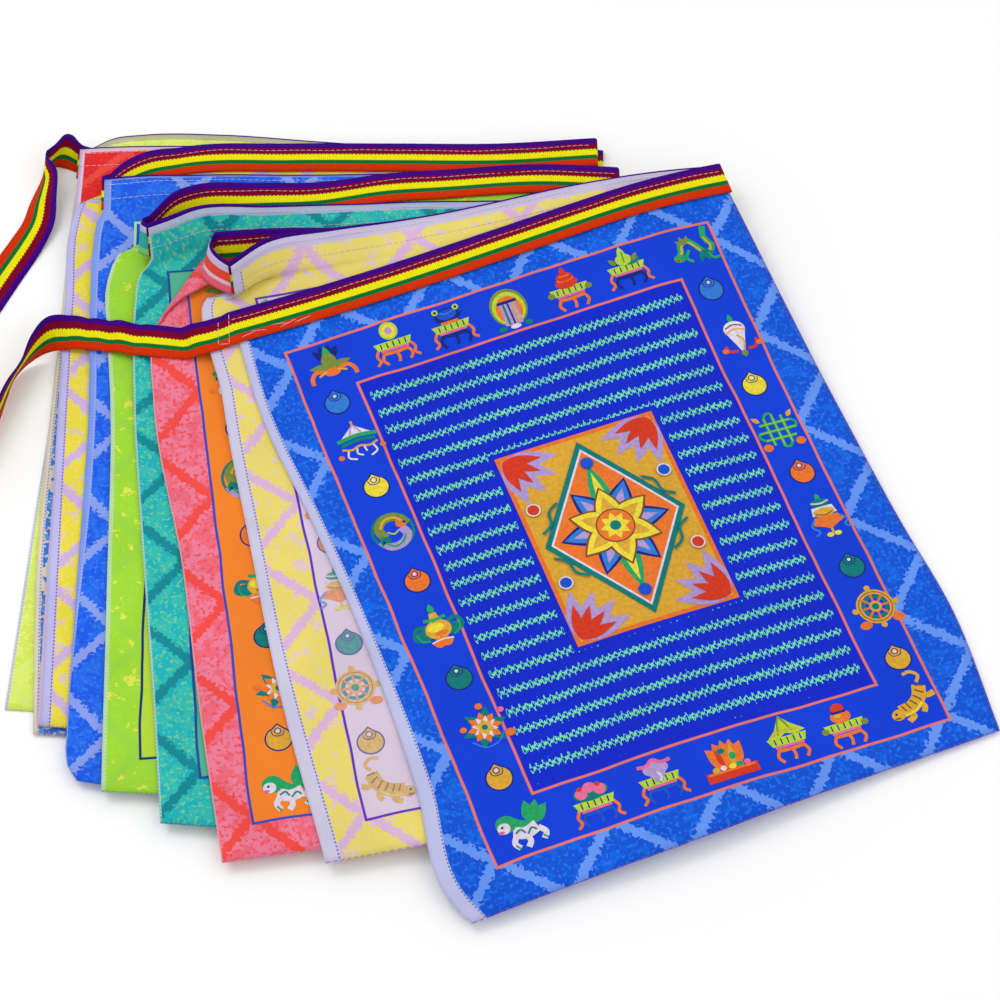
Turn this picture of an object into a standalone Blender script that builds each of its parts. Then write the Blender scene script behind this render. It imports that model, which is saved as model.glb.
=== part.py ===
"""A string of ten prayer flags on one woven ribbon, folded back and forth and fanned out flat.

Flags and ribbon lie in a low pile. The ribbon runs along the far edge of every flag, turns
back on itself at alternate ends, and leaves the pile at its left side as two free tails.
Frame: +X right, +Y away from the viewer, +Z up, origin at the bottom centre of the bounds.
The tables are in millimetres.
"""
import math

import bmesh
import bpy
import numpy as np

MM = 0.001

CLOTH_T = 1.0           # thickness of a flag
RIBBON_T = 1.0          # thickness of the ribbon
GAP = 0.5               # air between two layers of the pile
PITCH = CLOTH_T + GAP   # rise of the pile for each layer
RIBBON_W = 20.0         # width of the ribbon
SEAM_INSET = 2.0        # the flag's raw top edge lies this far below the ribbon's top edge
TILT_SPACING = 0.5      # what a standing ribbon and its cloth are further apart than lying ones
BEND_R = 12.0           # radius in which standing cloth bends down onto the pile
FLAG_DRAPE = 150.0      # distance over which a layer sinks beside the edge of a lower one
TAIL_DRAPE = 26.0       # the same for the narrow tails
EDGE_MARGIN = 4.0       # a layer keeps its full height this far beyond a lower layer's edge
FLAG_LENGTH = 360.0     # cloth from the ribbon's lower edge to the flag's bottom edge

# One row per flag, front to back: name, which way its print faces, slant of its sides in
# degrees, and the colour of the cloth.
FLAGS = [
    ("blue_front", "up", 20.6, (0.02, 0.11, 0.72)),
    ("white_front", "down", 12.0, (0.80, 0.70, 0.62)),
    ("red_front", "up", 10.0, (0.87, 0.20, 0.19)),
    ("green_front", "down", 5.0, (0.10, 0.52, 0.48)),
    ("yellow_front", "up", 2.5, (0.47, 0.78, 0.08)),
    ("blue_back", "down", 1.0, (0.03, 0.16, 0.80)),
    ("white_back", "up", 1.0, (0.85, 0.78, 0.35)),
    ("red_back", "down", 0.5, (0.80, 0.06, 0.04)),
    ("green_back", "up", 0.0, (0.72, 0.66, 0.54)),
    ("yellow_back", "down", -2.0, (0.78, 0.90, 0.08)),
]

# Top edge of the ribbon along each flag, left to right: x, y, tilt. Tilt 0 lies flat, tilt 90
# stands on the lower edge.
RUNS = [
    [(-150, 119, 0), (-111, 132, 0), (-61, 150, 0), (0, 174, 0), (62, 199, 0), (123, 223, 0)],
    [(-149, 137, 66), (-130, 155, 54), (-95, 169, 31), (-55, 181, 10), (-5, 194, 0),
     (35, 205, 0), (75, 214, 0), (123, 225, 0)],
    [(-158, 164, 48), (-130, 169, 38), (-95, 174, 20), (-60, 178, 3), (0, 188, 0),
     (50, 198, 0), (104, 208, 0)],
    [(-196, 167, 62), (-186, 173, 56), (-170, 184, 44), (-130, 192, 20), (-57, 199, 0),
     (-5, 200, 0), (50, 202, 0), (104, 207, 0)],
    [(-197, 176, 58), (-182, 196, 48), (-171, 203, 38), (-140, 209, 20), (-103, 213, 6),
     (-67, 220, 0), (-31, 223, 0), (22, 227, 0), (66, 225, 0)],
    [(-225, 217, 14), (-200, 221, 8), (-172, 223, 0), (-114, 223, 0), (-50, 224, 0),
     (10, 225, 0), (65, 224, 0)],
    [(-223, 221, 14), (-215, 230, 14), (-201, 239, 10), (-184, 244, 0), (-120, 247, 0),
     (-60, 247, 0), (0, 247, 0), (54, 251, 0)],
    [(-242, 247, 0), (-228, 248, 0), (-173, 249, 0), (-115, 249, 0), (-60, 248, 0),
     (0, 247, 0), (53, 250, 0)],
    [(-242, 246, 0), (-228, 247, 0), (-173, 247, 0), (-115, 247, 0), (-60, 246, 0),
     (0, 245, 0), (56, 247, 0)],
    [(-236, 252, 0), (-225, 259, 0), (-207, 262, 0), (-161, 262, 0), (-105, 257, 0),
     (-68, 254, 0), (0, 252, 0), (58, 250, 0)],
]

# Left edge of each flag below the ribbon, top to bottom: x, y. The first point is the
# ribbon's lower edge and is found from its run.
LEFT_EDGES = [
    [(-132, 62), (-98, -17), (-74, -76), (-42, -172), (-26, -230), (-14, -243)],
    [(-159, 132), (-151, 66), (-133, -23), (-112, -121), (-87, -211)],
    [(-168, 152), (-178, 138), (-191, 110), (-189, 67), (-167, -42), (-155, -120), (-139, -210)],
    [(-202, 150), (-203, 135), (-200, 69), (-190, -23), (-178, -122), (-171, -188)],
    [(-212, 168), (-219, 150), (-217, 110), (-213, 70), (-207, -50), (-202, -170)],
    [(-228, 188), (-229, 170), (-228, 126), (-225, 71), (-223, -75), (-222, -132),
     (-220, -156), (-215, -163)],
    [(-239, 206), (-243, 190), (-243, 140), (-242, 79), (-239, -30), (-236, -131)],
    [(-242, 200), (-242, 140), (-241, 70), (-240, -30), (-238, -130)],
    [(-244, 200), (-245, 140), (-246, 70), (-246, -29), (-240, -134)],
    [(-242, 200), (-243, 140), (-246, 70), (-250, -5), (-256, -119)],
]

# Bottom edge of each flag from its left to its right corner: x, y.
BOTTOM_EDGES = [
    [(18, -230), (51, -217), (100, -198), (160, -172), (210, -151), (257, -132)],
    [(-36, -201), (80, -179), (203, -152)],
    [(-91, -203), (30, -187), (156, -168)],
    [(-143, -190), (-20, -186), (116, -180)],
    [(-174, -171), (-40, -171), (95, -170)],
    [(-203, -165), (-60, -165), (78, -163)],
    [(-222, -132), (-80, -132), (62, -132)],
    [(-224, -131), (-90, -131), (57, -131)],
    [(-222, -135), (-90, -135), (56, -135)],
    [(-242, -120), (-100, -121), (48, -122)],
]

# Right edge of the front flag below the ribbon; the others are straight: x, y.
FRONT_RIGHT_EDGE = [(184, 71), (214, -4), (238, -59)]

# Free tails from the pile outwards: x and y of the lower edge, heading of the width in
# degrees (0 towards the viewer, 90 to the right), and tilt, which passes 90 where it leans over.
FRONT_TAIL = [(-168, 93, 10, 0), (-184, 94, 4, 0), (-201, 96, 0, 0), (-215, 100, -4, 0),
              (-229, 103, -2, 4), (-243, 104, 2, 30), (-255, 101, 14, 82),
              (-263, 96, 36, 104), (-268, 89, 54, 108), (-271, 77, 66, 100),
              (-274, 62, 74, 94), (-283, 36, 72, 90), (-295, 10, 72, 90)]
BACK_TAIL = [(-243, 234, -4, 0), (-250, 237, -12, 16), (-257, 238, -34, 60),
             (-261, 235, -80, 80), (-265, 224, -96, 52), (-269, 211, -98, 34),
             (-272, 198, -103, 16), (-278, 185, -110, 4), (-284, 173, -114, 0),
             (-297, 145, -115, 0), (-312, 113, -115, 0)]

# Rows of a flag below the ribbon, as distances in millimetres, closer where it bends.
BOW_FADE = 4            # power by which the bow of a side edge fades towards the other side
SHEET_ROWS = (3, 7, 13, 25, 42, 62, 85, 110, 140, 175, 210, 245, 280, 320)
RUN_SECTIONS = 16       # sections of a run, also the columns of its flag
RUN_CROWDING = 1.2      # how much closer they are at the left, where the ribbon stands
FOLD_STEPS = 5          # sections in the turn between two runs
PRESSED_SPREAD = 6.0    # runs whose ends are closer than this have a pressed turn at the left
LEAN = 0.4              # how far the lower edge of an open turn spreads outwards
RIBBON_COLOUR = (0.55, 0.07, 0.10)


def lengths(points):
    """Length along a curve at each of its points."""
    return np.r_[0.0, np.cumsum(np.linalg.norm(np.diff(points, axis=0), axis=1))]


def spline(rows, count, crowding=1.0):
    """Points on a smooth curve through the rows; a crowding above 1 brings them to its start."""
    rows = np.asarray(rows, float)
    at = lengths(rows[:, :2])
    slope = np.gradient(rows, at, axis=0, edge_order=1)
    where = at[-1] * np.linspace(0.0, 1.0, count) ** crowding
    left = np.clip(np.searchsorted(at, where, side="right") - 1, 0, len(at) - 2)
    span = (at[left + 1] - at[left])[:, None]
    t = (where[:, None] - at[left][:, None]) / span
    h00 = (1 + 2 * t) * (1 - t) ** 2
    h01 = t * t * (3 - 2 * t)
    return (h00 * rows[left] + t * (1 - t) ** 2 * span * slope[left]
            + h01 * rows[left + 1] + t * t * (t - 1) * span * slope[left + 1])


def ramp(distance, reach):
    """1 up to the margin beyond an edge, then falling smoothly to 0 over the reach."""
    t = np.clip((distance - EDGE_MARGIN) / reach, 0.0, 1.0)
    return 1.0 - t * t * (3.0 - 2.0 * t)


def unit(v):
    """Rows of v at length 1."""
    return v / np.linalg.norm(v, axis=-1, keepdims=True)


def down_slope(heading, tilt):
    """Direction from the ribbon's top edge to its lower edge."""
    a, b = np.radians(heading), np.radians(tilt)
    return np.stack([np.sin(a) * np.cos(b), -np.cos(a) * np.cos(b), -np.sin(b)], axis=-1)


class Run:
    """Plan of the ribbon along one flag, left to right."""

    def __init__(self, index):
        rows = spline(RUNS[index], RUN_SECTIONS, RUN_CROWDING)
        self.top = rows[:, :2]
        self.tilt = np.clip(rows[:, 2], 0.0, 89.0)
        self.down = down_slope(np.full(RUN_SECTIONS, FLAGS[index][2]), self.tilt)
        self.low = self.top + RIBBON_W * self.down[:, :2]


class Outline:
    """Plan outline of one flag: left and right edges as x(y), top and bottom as y(x)."""

    def __init__(self, index, run):
        start = run.low[0]
        end = run.low[-1]
        side = FRONT_RIGHT_EDGE if index == 0 else []
        corner = LEFT_EDGES[index][-1]
        self.left = spline([tuple(start)] + LEFT_EDGES[index], 40)
        self.bottom = spline([corner] + BOTTOM_EDGES[index], 40)
        self.right = spline([tuple(end)] + side + [BOTTOM_EDGES[index][-1]], 40)
        self.top = run.low
        self.back = run.top

    def cover(self, x, y, reach):
        """1 over the flag, falling to 0 over the reach around it."""
        left = np.interp(-y, -self.left[:, 1], self.left[:, 0])
        right = np.interp(-y, -self.right[:, 1], self.right[:, 0])
        back = np.interp(x, self.back[:, 0], self.back[:, 1])
        front = np.interp(x, self.bottom[:, 0], self.bottom[:, 1])
        return (ramp(left - x, reach) * ramp(x - right, reach)
                * ramp(y - back, reach) * ramp(front - y, reach))

    def place(self, across, down):
        """Plan points of the patch between the four edges; across and down run from 0 to 1."""
        s, t = across[:, None, None], down[None, :, None]
        top = curve_at(self.top, across)[:, None]
        bottom = curve_at(self.bottom, across)[:, None]
        left, right = bow(self.left, down)[None], bow(self.right, down)[None]
        return ((1 - t) * top + t * bottom + (1 - s) ** BOW_FADE * left + s ** BOW_FADE * right)


def curve_at(points, where):
    """Points at the given fractions of a curve's length."""
    at = lengths(points)
    return np.stack([np.interp(where * at[-1], at, points[:, i]) for i in (0, 1)], axis=-1)


def bow(points, where):
    """How far a curve lies from the straight line between its ends, at fractions of its length."""
    straight = (1 - where[:, None]) * points[0] + where[:, None] * points[-1]
    return curve_at(points, where) - straight


class Pile:
    """Heights of the pile: which layers lie under a given one, and where."""

    def __init__(self):
        self.runs = [Run(i) for i in range(len(FLAGS))]
        self.outlines = [Outline(i, run) for i, run in enumerate(self.runs)]
        self.order = []
        for index in reversed(range(len(FLAGS))):
            pair = [("cloth", index), ("ribbon", index)]
            self.order += pair if FLAGS[index][1] == "up" else pair[::-1]

    def ribbon_cover(self, index, x, y, reach):
        """1 over one run of the ribbon, falling to 0 over the reach around it."""
        run = self.runs[index]
        back = np.interp(x, run.top[:, 0], run.top[:, 1])
        front = np.interp(x, run.low[:, 0], run.low[:, 1])
        return (ramp(y - back, reach) * ramp(front - y, reach)
                * ramp(run.top[0, 0] - x, reach) * ramp(x - run.top[-1, 0], reach))

    def cover(self, layer, x, y, reach):
        """1 over one layer, falling to 0 over the reach around it."""
        kind, index = layer
        if kind == "cloth":
            return self.outlines[index].cover(x, y, reach)
        return self.ribbon_cover(index, x, y, reach)

    def below(self, layer):
        """The layers under a given one, from the bottom up."""
        return self.order[:self.order.index(layer)]

    def height(self, layer, x, y):
        """Height of the middle of a layer that drapes over those below it."""
        total = np.full(np.shape(x), CLOTH_T / 2)
        for lower in self.below(layer):
            total += PITCH * self.cover(lower, x, y, FLAG_DRAPE)
        return total

    def seat(self, layer, x, y):
        """Height of a narrow tail that leaves a layer and drops close beside each edge."""
        heights = [PITCH + self.height(lower, x, y) for lower in self.below(layer)]
        covers = [self.cover(lower, x, y, TAIL_DRAPE) for lower in self.below(layer)]
        return max([CLOTH_T / 2] + [h * c for h, c in zip(heights, covers)])

    def strip(self, kind, index):
        """Top and lower edge of a run's ribbon, or of the cloth sewn to it, as 3-D points."""
        run = self.runs[index]
        under = "cloth" if FLAGS[index][1] == "up" else "ribbon"
        low_z = (self.height((under, index), run.low[:, 0], run.low[:, 1])
                 + BEND_R * (1 - np.cos(np.radians(run.tilt))))
        flat_z = self.height((under, index), run.top[:, 0], run.top[:, 1])
        top_z = np.maximum(flat_z, low_z - RIBBON_W * run.down[:, 2])
        low = np.column_stack([run.low, low_z])
        top = np.column_stack([run.top, top_z])
        if kind != under:
            along = np.gradient(0.5 * (top + low), axis=0)
            spacing = PITCH + TILT_SPACING * np.sin(np.radians(run.tilt))
            lift = spacing[:, None] * unit(np.cross(low - top, along))
            top, low = top + lift, low + lift
        return top, low


def cloth_grid(pile, index):
    """Middle surface of one flag: columns left to right, rows from its top edge down."""
    run = pile.runs[index]
    top, low = pile.strip("cloth", index)
    top = top + (low - top) * SEAM_INSET / RIBBON_W
    across = lengths(run.low)
    across = across / across[-1]
    down = np.r_[np.array(SHEET_ROWS) / FLAG_LENGTH, 1.0]
    plan = pile.outlines[index].place(across, down)
    plan = plan + (low[:, None, :2] - run.low[:, None, :]) * (1 - down)[None, :, None] ** 8
    layer = ("cloth", index)
    rise = low[:, 2] - pile.height(layer, low[:, 0], low[:, 1])
    tilt = np.radians(np.maximum(run.tilt, 12.0))
    length = 3 * BEND_R * (1 - np.cos(tilt)) / np.tan(tilt)
    fade = np.clip(1 - down[None, :] * FLAG_LENGTH / length[:, None], 0.0, 1.0) ** 3
    z = pile.height(layer, plan[..., 0], plan[..., 1]) + rise[:, None] * fade
    sheet = np.concatenate([plan, z[..., None]], axis=-1)
    return np.concatenate([top[:, None], low[:, None], sheet], axis=1)


def flat_fold(top, low, outward, drop):
    """Sections of a pressed turn at the right end: a half round from one run to the next."""
    steps = np.linspace(0.0, math.pi, FOLD_STEPS + 2)[1:-1]
    radius = 0.5 * drop
    sections = []
    for a in steps:
        part = 0.5 * (1 - math.cos(a))
        push = outward * radius * math.sin(a)
        sections.append(((1 - part) * top[0] + part * top[1] + push,
                         (1 - part) * low[0] + part * low[1] + push))
    return sections


def standing_fold(top, low, outward):
    """Sections of an open turn at the left end, where the ribbon stands on its lower edge."""
    lean = np.array([-1.0, 0.0, -1.0]) * LEAN * np.linalg.norm(top[1] - top[0])
    sections = []
    for t in np.linspace(0.0, 1.0, FOLD_STEPS + 2)[1:-1]:
        bulge = 4 * t * (1 - t)
        down = (1 - t) * (low[0] - top[0]) + t * (low[1] - top[1])
        down = unit(down + bulge * lean) * RIBBON_W
        point = (1 - t) * top[0] + t * top[1] + bulge * outward
        sections.append((point, point + down))
    return sections


def tail_sections(pile, rows, joint, layer):
    """Sections of a free tail from the pile outwards, resting on its lower edge."""
    start = (joint[1][0], joint[1][1], rows[0][2], rows[0][3])
    rows = spline([start] + rows, 3 * len(rows))
    sections = []
    for x, y, heading, tilt in rows[2:]:
        down = RIBBON_W * down_slope(heading, tilt)
        low = np.array([x, y, 0.0])
        top = low - down
        low[2] = pile.seat(layer, low[0], low[1])
        top[2] = max(pile.seat(layer, top[0], top[1]), low[2] - down[2])
        sections.append((top, low))
    return sections


def ribbon_sections(pile):
    """Top and lower edge of the whole ribbon, from the front tail's end to the back tail's."""
    strips = [pile.strip("ribbon", i) for i in range(len(FLAGS))]
    joint = (strips[0][0][0], strips[0][1][0])
    sections = tail_sections(pile, FRONT_TAIL, joint, ("ribbon", 0))[::-1]
    for index, (top, low) in enumerate(strips):
        forward = FLAGS[index][1] == "up"
        order = range(RUN_SECTIONS) if forward else range(RUN_SECTIONS - 1, -1, -1)
        sections += [(top[i], low[i]) for i in order]
        if index + 1 == len(strips):
            break
        end = -1 if forward else 0
        tops = (top[end], strips[index + 1][0][end])
        lows = (low[end], strips[index + 1][1][end])
        if forward:
            outward = unit(top[-1] - top[-2])
            sections += flat_fold(tops, lows, outward, 3 * PITCH)
        else:
            outward = np.array([-1.0, 0.0, 0.0])
            spread = np.linalg.norm(tops[1] - tops[0])
            if spread < PRESSED_SPREAD:
                sections += flat_fold(tops, lows, outward, spread)
            else:
                sections += standing_fold(tops, lows, outward * (2.0 + 0.12 * spread))
    joint = (strips[-1][0][0], strips[-1][1][0])
    return sections + tail_sections(pile, BACK_TAIL, joint, ("ribbon", len(FLAGS) - 1))


def material(name, colour, roughness):
    """A plain Principled material."""
    mat = bpy.data.materials.new(name)
    mat.use_nodes = True
    shader = mat.node_tree.nodes["Principled BSDF"]
    shader.inputs["Base Color"].default_value = (*colour, 1.0)
    shader.inputs["Roughness"].default_value = roughness
    shader.inputs["Metallic"].default_value = 0.0
    return mat


def grid_normals(grid):
    """Upward unit normals of a grid of points."""
    across = np.gradient(grid, axis=0)
    down = np.gradient(grid, axis=1)
    return unit(np.cross(down, across))


def add_quad(bm, corners, along_first):
    """Two triangles; the diagonal joins corners 0 and 2 when along_first is true."""
    a, b, c, d = corners
    pairs = ((a, b, c), (a, c, d)) if along_first else ((b, c, d), (b, d, a))
    for triangle in pairs:
        bm.faces.new(triangle)


def thick_sheet(grid, thickness):
    """A closed mesh that surrounds a grid of points, half of the thickness on either side."""
    offset = grid_normals(grid) * thickness / 2
    bm = bmesh.new()
    sides = [[[bm.verts.new(p * MM) for p in column] for column in side]
             for side in (grid + offset, grid - offset)]
    upper, lower = sides
    columns, rows = grid.shape[:2]
    for i in range(columns - 1):
        for j in range(rows - 1):
            around = ((i, j), (i, j + 1), (i + 1, j + 1), (i + 1, j))
            add_quad(bm, [upper[k][m] for k, m in around], True)
            add_quad(bm, [lower[k][m] for k, m in around], True)
    rim = ([(i, 0) for i in range(columns)] + [(columns - 1, j) for j in range(1, rows)]
           + [(i, rows - 1) for i in range(columns - 2, -1, -1)]
           + [(0, j) for j in range(rows - 2, 0, -1)])
    for (i, j), (k, m) in zip(rim, rim[1:] + rim[:1]):
        bm.faces.new((upper[i][j], upper[k][m], lower[k][m], lower[i][j]))
    return bm


def thick_strip(sections, thickness):
    """A closed mesh along sections, each of which is a pair of edge points."""
    edges = np.array(sections)
    along = unit(np.gradient(edges.mean(axis=1), axis=0))
    face = unit(np.cross(edges[:, 1] - edges[:, 0], along)) * thickness / 2
    bm = bmesh.new()
    rings = []
    for (top, low), half in zip(edges, face):
        corners = (top + half, low + half, low - half, top - half)
        rings.append([bm.verts.new(c * MM) for c in corners])
    for i, (a, b) in enumerate(zip(rings, rings[1:])):
        rightward = edges[i + 1][0][0] > edges[i][0][0]
        for k in range(4):
            corners = (a[k], a[(k + 1) % 4], b[(k + 1) % 4], b[k])
            add_quad(bm, corners, rightward != (k == 2))
    bm.faces.new(rings[0][::-1])
    bm.faces.new(rings[-1])
    return bm


def add_object(name, bm, mat):
    """A named object from a bmesh."""
    bmesh.ops.recalc_face_normals(bm, faces=bm.faces)
    mesh = bpy.data.meshes.new(name)
    bm.to_mesh(mesh)
    bm.free()
    mesh.materials.append(mat)
    obj = bpy.data.objects.new(name, mesh)
    bpy.context.scene.collection.objects.link(obj)
    return obj


def centre_on_origin(objects):
    """Shift all pieces so that the origin is the bottom centre of their bounds."""
    points = np.array([v.co[:] for obj in objects for v in obj.data.vertices])
    low, high = points.min(axis=0), points.max(axis=0)
    shift = np.array([-(low[0] + high[0]) / 2, -(low[1] + high[1]) / 2, -low[2]])
    for obj in objects:
        for vertex in obj.data.vertices:
            vertex.co = vertex.co[:] + shift


def build():
    """All flags and the ribbon."""
    for obj in list(bpy.data.objects):
        bpy.data.objects.remove(obj, do_unlink=True)
    pile = Pile()
    objects = []
    for index, (name, _, _, colour) in enumerate(FLAGS):
        grid = cloth_grid(pile, index)
        objects.append(add_object("flag_%02d_%s" % (index + 1, name),
                                  thick_sheet(grid, CLOTH_T), material(name, colour, 0.6)))
    ribbon = thick_strip(ribbon_sections(pile), RIBBON_T)
    objects.append(add_object("ribbon", ribbon, material("ribbon", RIBBON_COLOUR, 0.7)))
    centre_on_origin(objects)


build()
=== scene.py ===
"""Visual model of a string of ten prayer flags on one rainbow ribbon, folded and fanned out.

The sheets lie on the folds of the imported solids, with a finer grid, thin cloth, the prints,
the stitches, the red flag's turned corner and the cloth around the open turns.
The tables are in millimetres, in the frame in which the solids were laid out.
"""
import math

import bmesh
import bpy
import numpy as np
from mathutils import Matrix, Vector
from mathutils.bvhtree import BVHTree
from mathutils.geometry import tessellate_polygon


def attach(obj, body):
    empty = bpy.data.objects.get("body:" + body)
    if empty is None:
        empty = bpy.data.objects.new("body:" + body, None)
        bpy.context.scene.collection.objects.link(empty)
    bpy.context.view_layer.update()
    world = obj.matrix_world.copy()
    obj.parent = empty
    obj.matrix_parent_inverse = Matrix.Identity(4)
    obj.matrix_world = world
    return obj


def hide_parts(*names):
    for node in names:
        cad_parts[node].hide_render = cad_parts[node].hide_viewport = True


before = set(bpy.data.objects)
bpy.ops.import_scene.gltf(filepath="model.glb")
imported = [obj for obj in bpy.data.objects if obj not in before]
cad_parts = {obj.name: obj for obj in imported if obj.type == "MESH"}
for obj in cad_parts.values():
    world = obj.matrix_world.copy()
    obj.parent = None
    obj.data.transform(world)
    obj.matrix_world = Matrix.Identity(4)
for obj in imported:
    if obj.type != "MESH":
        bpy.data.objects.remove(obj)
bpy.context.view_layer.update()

MM = 0.001
SHIFT = np.array([27.491, -9.900, 0.0])   # from the tables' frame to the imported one

CLOTH_T = 1.0           # thickness of a flag's solid
PITCH = 1.5             # rise of the pile for each layer
RIBBON_W = 20.0         # width of the ribbon
SEAM_INSET = 2.0        # the flag's raw top edge lies this far below the ribbon's top edge
TILT_SPACING = 0.5      # what a standing ribbon and its cloth are further apart than lying ones
BEND_R = 12.0           # radius in which standing cloth bends down onto the pile
FLAG_DRAPE = 150.0      # distance over which a layer sinks beside the edge of a lower one
TAIL_DRAPE = 26.0       # the same for the narrow tails
EDGE_MARGIN = 4.0       # a layer keeps its full height this far beyond a lower layer's edge
FLAG_LENGTH = 360.0     # cloth from the ribbon's lower edge to the flag's bottom edge
BOW_FADE = 4            # power by which the bow of a side edge fades towards the other side
PRESSED_SPREAD = 6.0    # runs whose ends are closer than this have a pressed turn at the left
LEAN = 0.4              # how far the lower edge of an open turn spreads outwards

RUN_SECTIONS = 61       # sections of a run, also the columns of its flag
RUN_CROWDING = 1.2      # how much closer they are at the left, where the ribbon stands
FOLD_STEPS = 13         # sections in the turn between two runs
TAIL_STEPS = 9          # sections of a tail for each row of its table
SHEET_T = 0.35          # thickness of the cloth that shows
RIBBON_SHEET_T = 0.6    # thickness of the ribbon that shows
WRINKLE = 0.30          # height of the wrinkles
WRINKLE_START = 25.0    # distance below the ribbon over which they start, and fade in

LENS, SENSOR_W = 115.2, 36.0           # focal length and width of the sensor
CAMERA_ELEVATION = 57.3                # degrees over the floor
CAMERA_DISTANCE = 1.705                # metres from its target
CAMERA_TARGET = (0.027491, -0.0099, 0.016)              # metres
CLIP_END = 20.0         # metres that the camera sees
FLOOR_SIZE, FLOOR_COLOUR = 12.0, (0.93, 0.93, 0.93)     # side in metres, and colour of the floor
WORLD_STRENGTH = 0.84
# Lights: name, place in metres, size in metres and power in watts.
LIGHTS = [
    ("key", (-0.8, 0.4, 1.6), 0.9, 8.0),
    ("fill", (1.2, -0.6, 1.6), 1.8, 5.0),
]
BAND_ROWS = 6           # rows of a flag under the ribbon
RIBBON_COLUMNS = 9      # points across the ribbon
FRAME_W, FRAME_H = 250.0, 329.0        # size of the printed outer frame
INNER_LOW, INNER_HIGH = (31.0, 31.5), (222.0, 298.0)    # corners of the inner frame
PANEL_LOW, PANEL_HIGH = (83.5, 103.0), (174.5, 227.0)   # corners of the middle panel
LATTICE_X, LATTICE_Y = 62.0, 63.0      # size of the lattice in the border
LATTICE_START = 10.0    # first place where a band of the lattice meets the side of the frame
LEAF_SIZE = 2.2         # size of the foliage in the border
FOLIAGE_LEVEL = 0.42    # level above which the fine noise shows as foliage
BAND_CORE, BAND_HALF = 0.045, 0.082    # half widths of a lattice band's bare core, and of the band
BAND_THINNING = 0.30    # how much the foliage thins out over the core
ROW_START = 42.0        # first row of marks
ROW_PITCH, MARK_PITCH = 11.6, 3.4      # spacing of the rows of marks, and of marks in a row
MARK_HALF_W, MARK_HALF_H = 1.45, 3.0   # half the size of a mark
MARK_RING, MARK_LINE = 0.74, 0.20      # place and half width of a mark's line, as shares of that
MARK_STRAY = 1.7        # how unevenly the marks are drawn
DOT_HALF_W, DOT_HALF_H = 0.62, 1.5     # half the size of a dot between marks
PRINT_BLUR = 0.4        # blur of the edges of the printed fields
FRAME_LINE = 0.70       # half width of the frame lines
PRINT_SWAY = 2.4        # how far the print strays from straight
CLOTH_ROUGHNESS = 0.58
THREAD_PITCH = 0.45     # spacing of the cloth's threads
THREAD_SHADE, UNEVEN_SHADE = 0.16, 0.14     # how much the threads and the unevenness darken it
CLOTH_SHADE = (110, 110, 130)          # screen colour towards which they darken it
CLOTH_BUMP = 0.00022    # height of the cloth's bumps, in metres
HEM_STITCH = 2.1        # spacing of the stitches along the hem
RIM_W, RIM_STITCH = 0.7, 3.1           # width of the far edges' rim, and spacing of its stitches
MOTIF_SIDE = 4.0        # longest side of a motif's triangles
DISC_STEPS, LEAF_STEPS, LINE_STEPS = 14, 11, 16         # points along the motifs' shapes
STITCH_ROWS, STITCH_WAVES = (5.2, 14.4), (0.35, 0.1)    # place of the stitches, how they stray
STITCH_PITCH, STITCH_LENGTH, STITCH_RADIUS = 3.4, 2.9, 0.20
STITCH_SPOTS, STITCH_SIZES = (0.0, 0.2, 0.5, 0.8, 1.0), (0.35, 0.85, 1.0, 0.85, 0.35)
RIB_PITCH = 1.1         # spacing of the ribbon's ribs
DOT_ROW = 8.0           # place of the ribbon's dotted line

# Stripes of the ribbon from its top edge: where each starts, and its colour on screen.
STRIPES = [
    (0.0, (68, 4, 138)),
    (3.6, (134, 0, 46)),
    (7.8, (255, 246, 16)),
    (12.2, (0, 120, 56)),
    (15.0, (226, 54, 8)),
]

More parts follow.
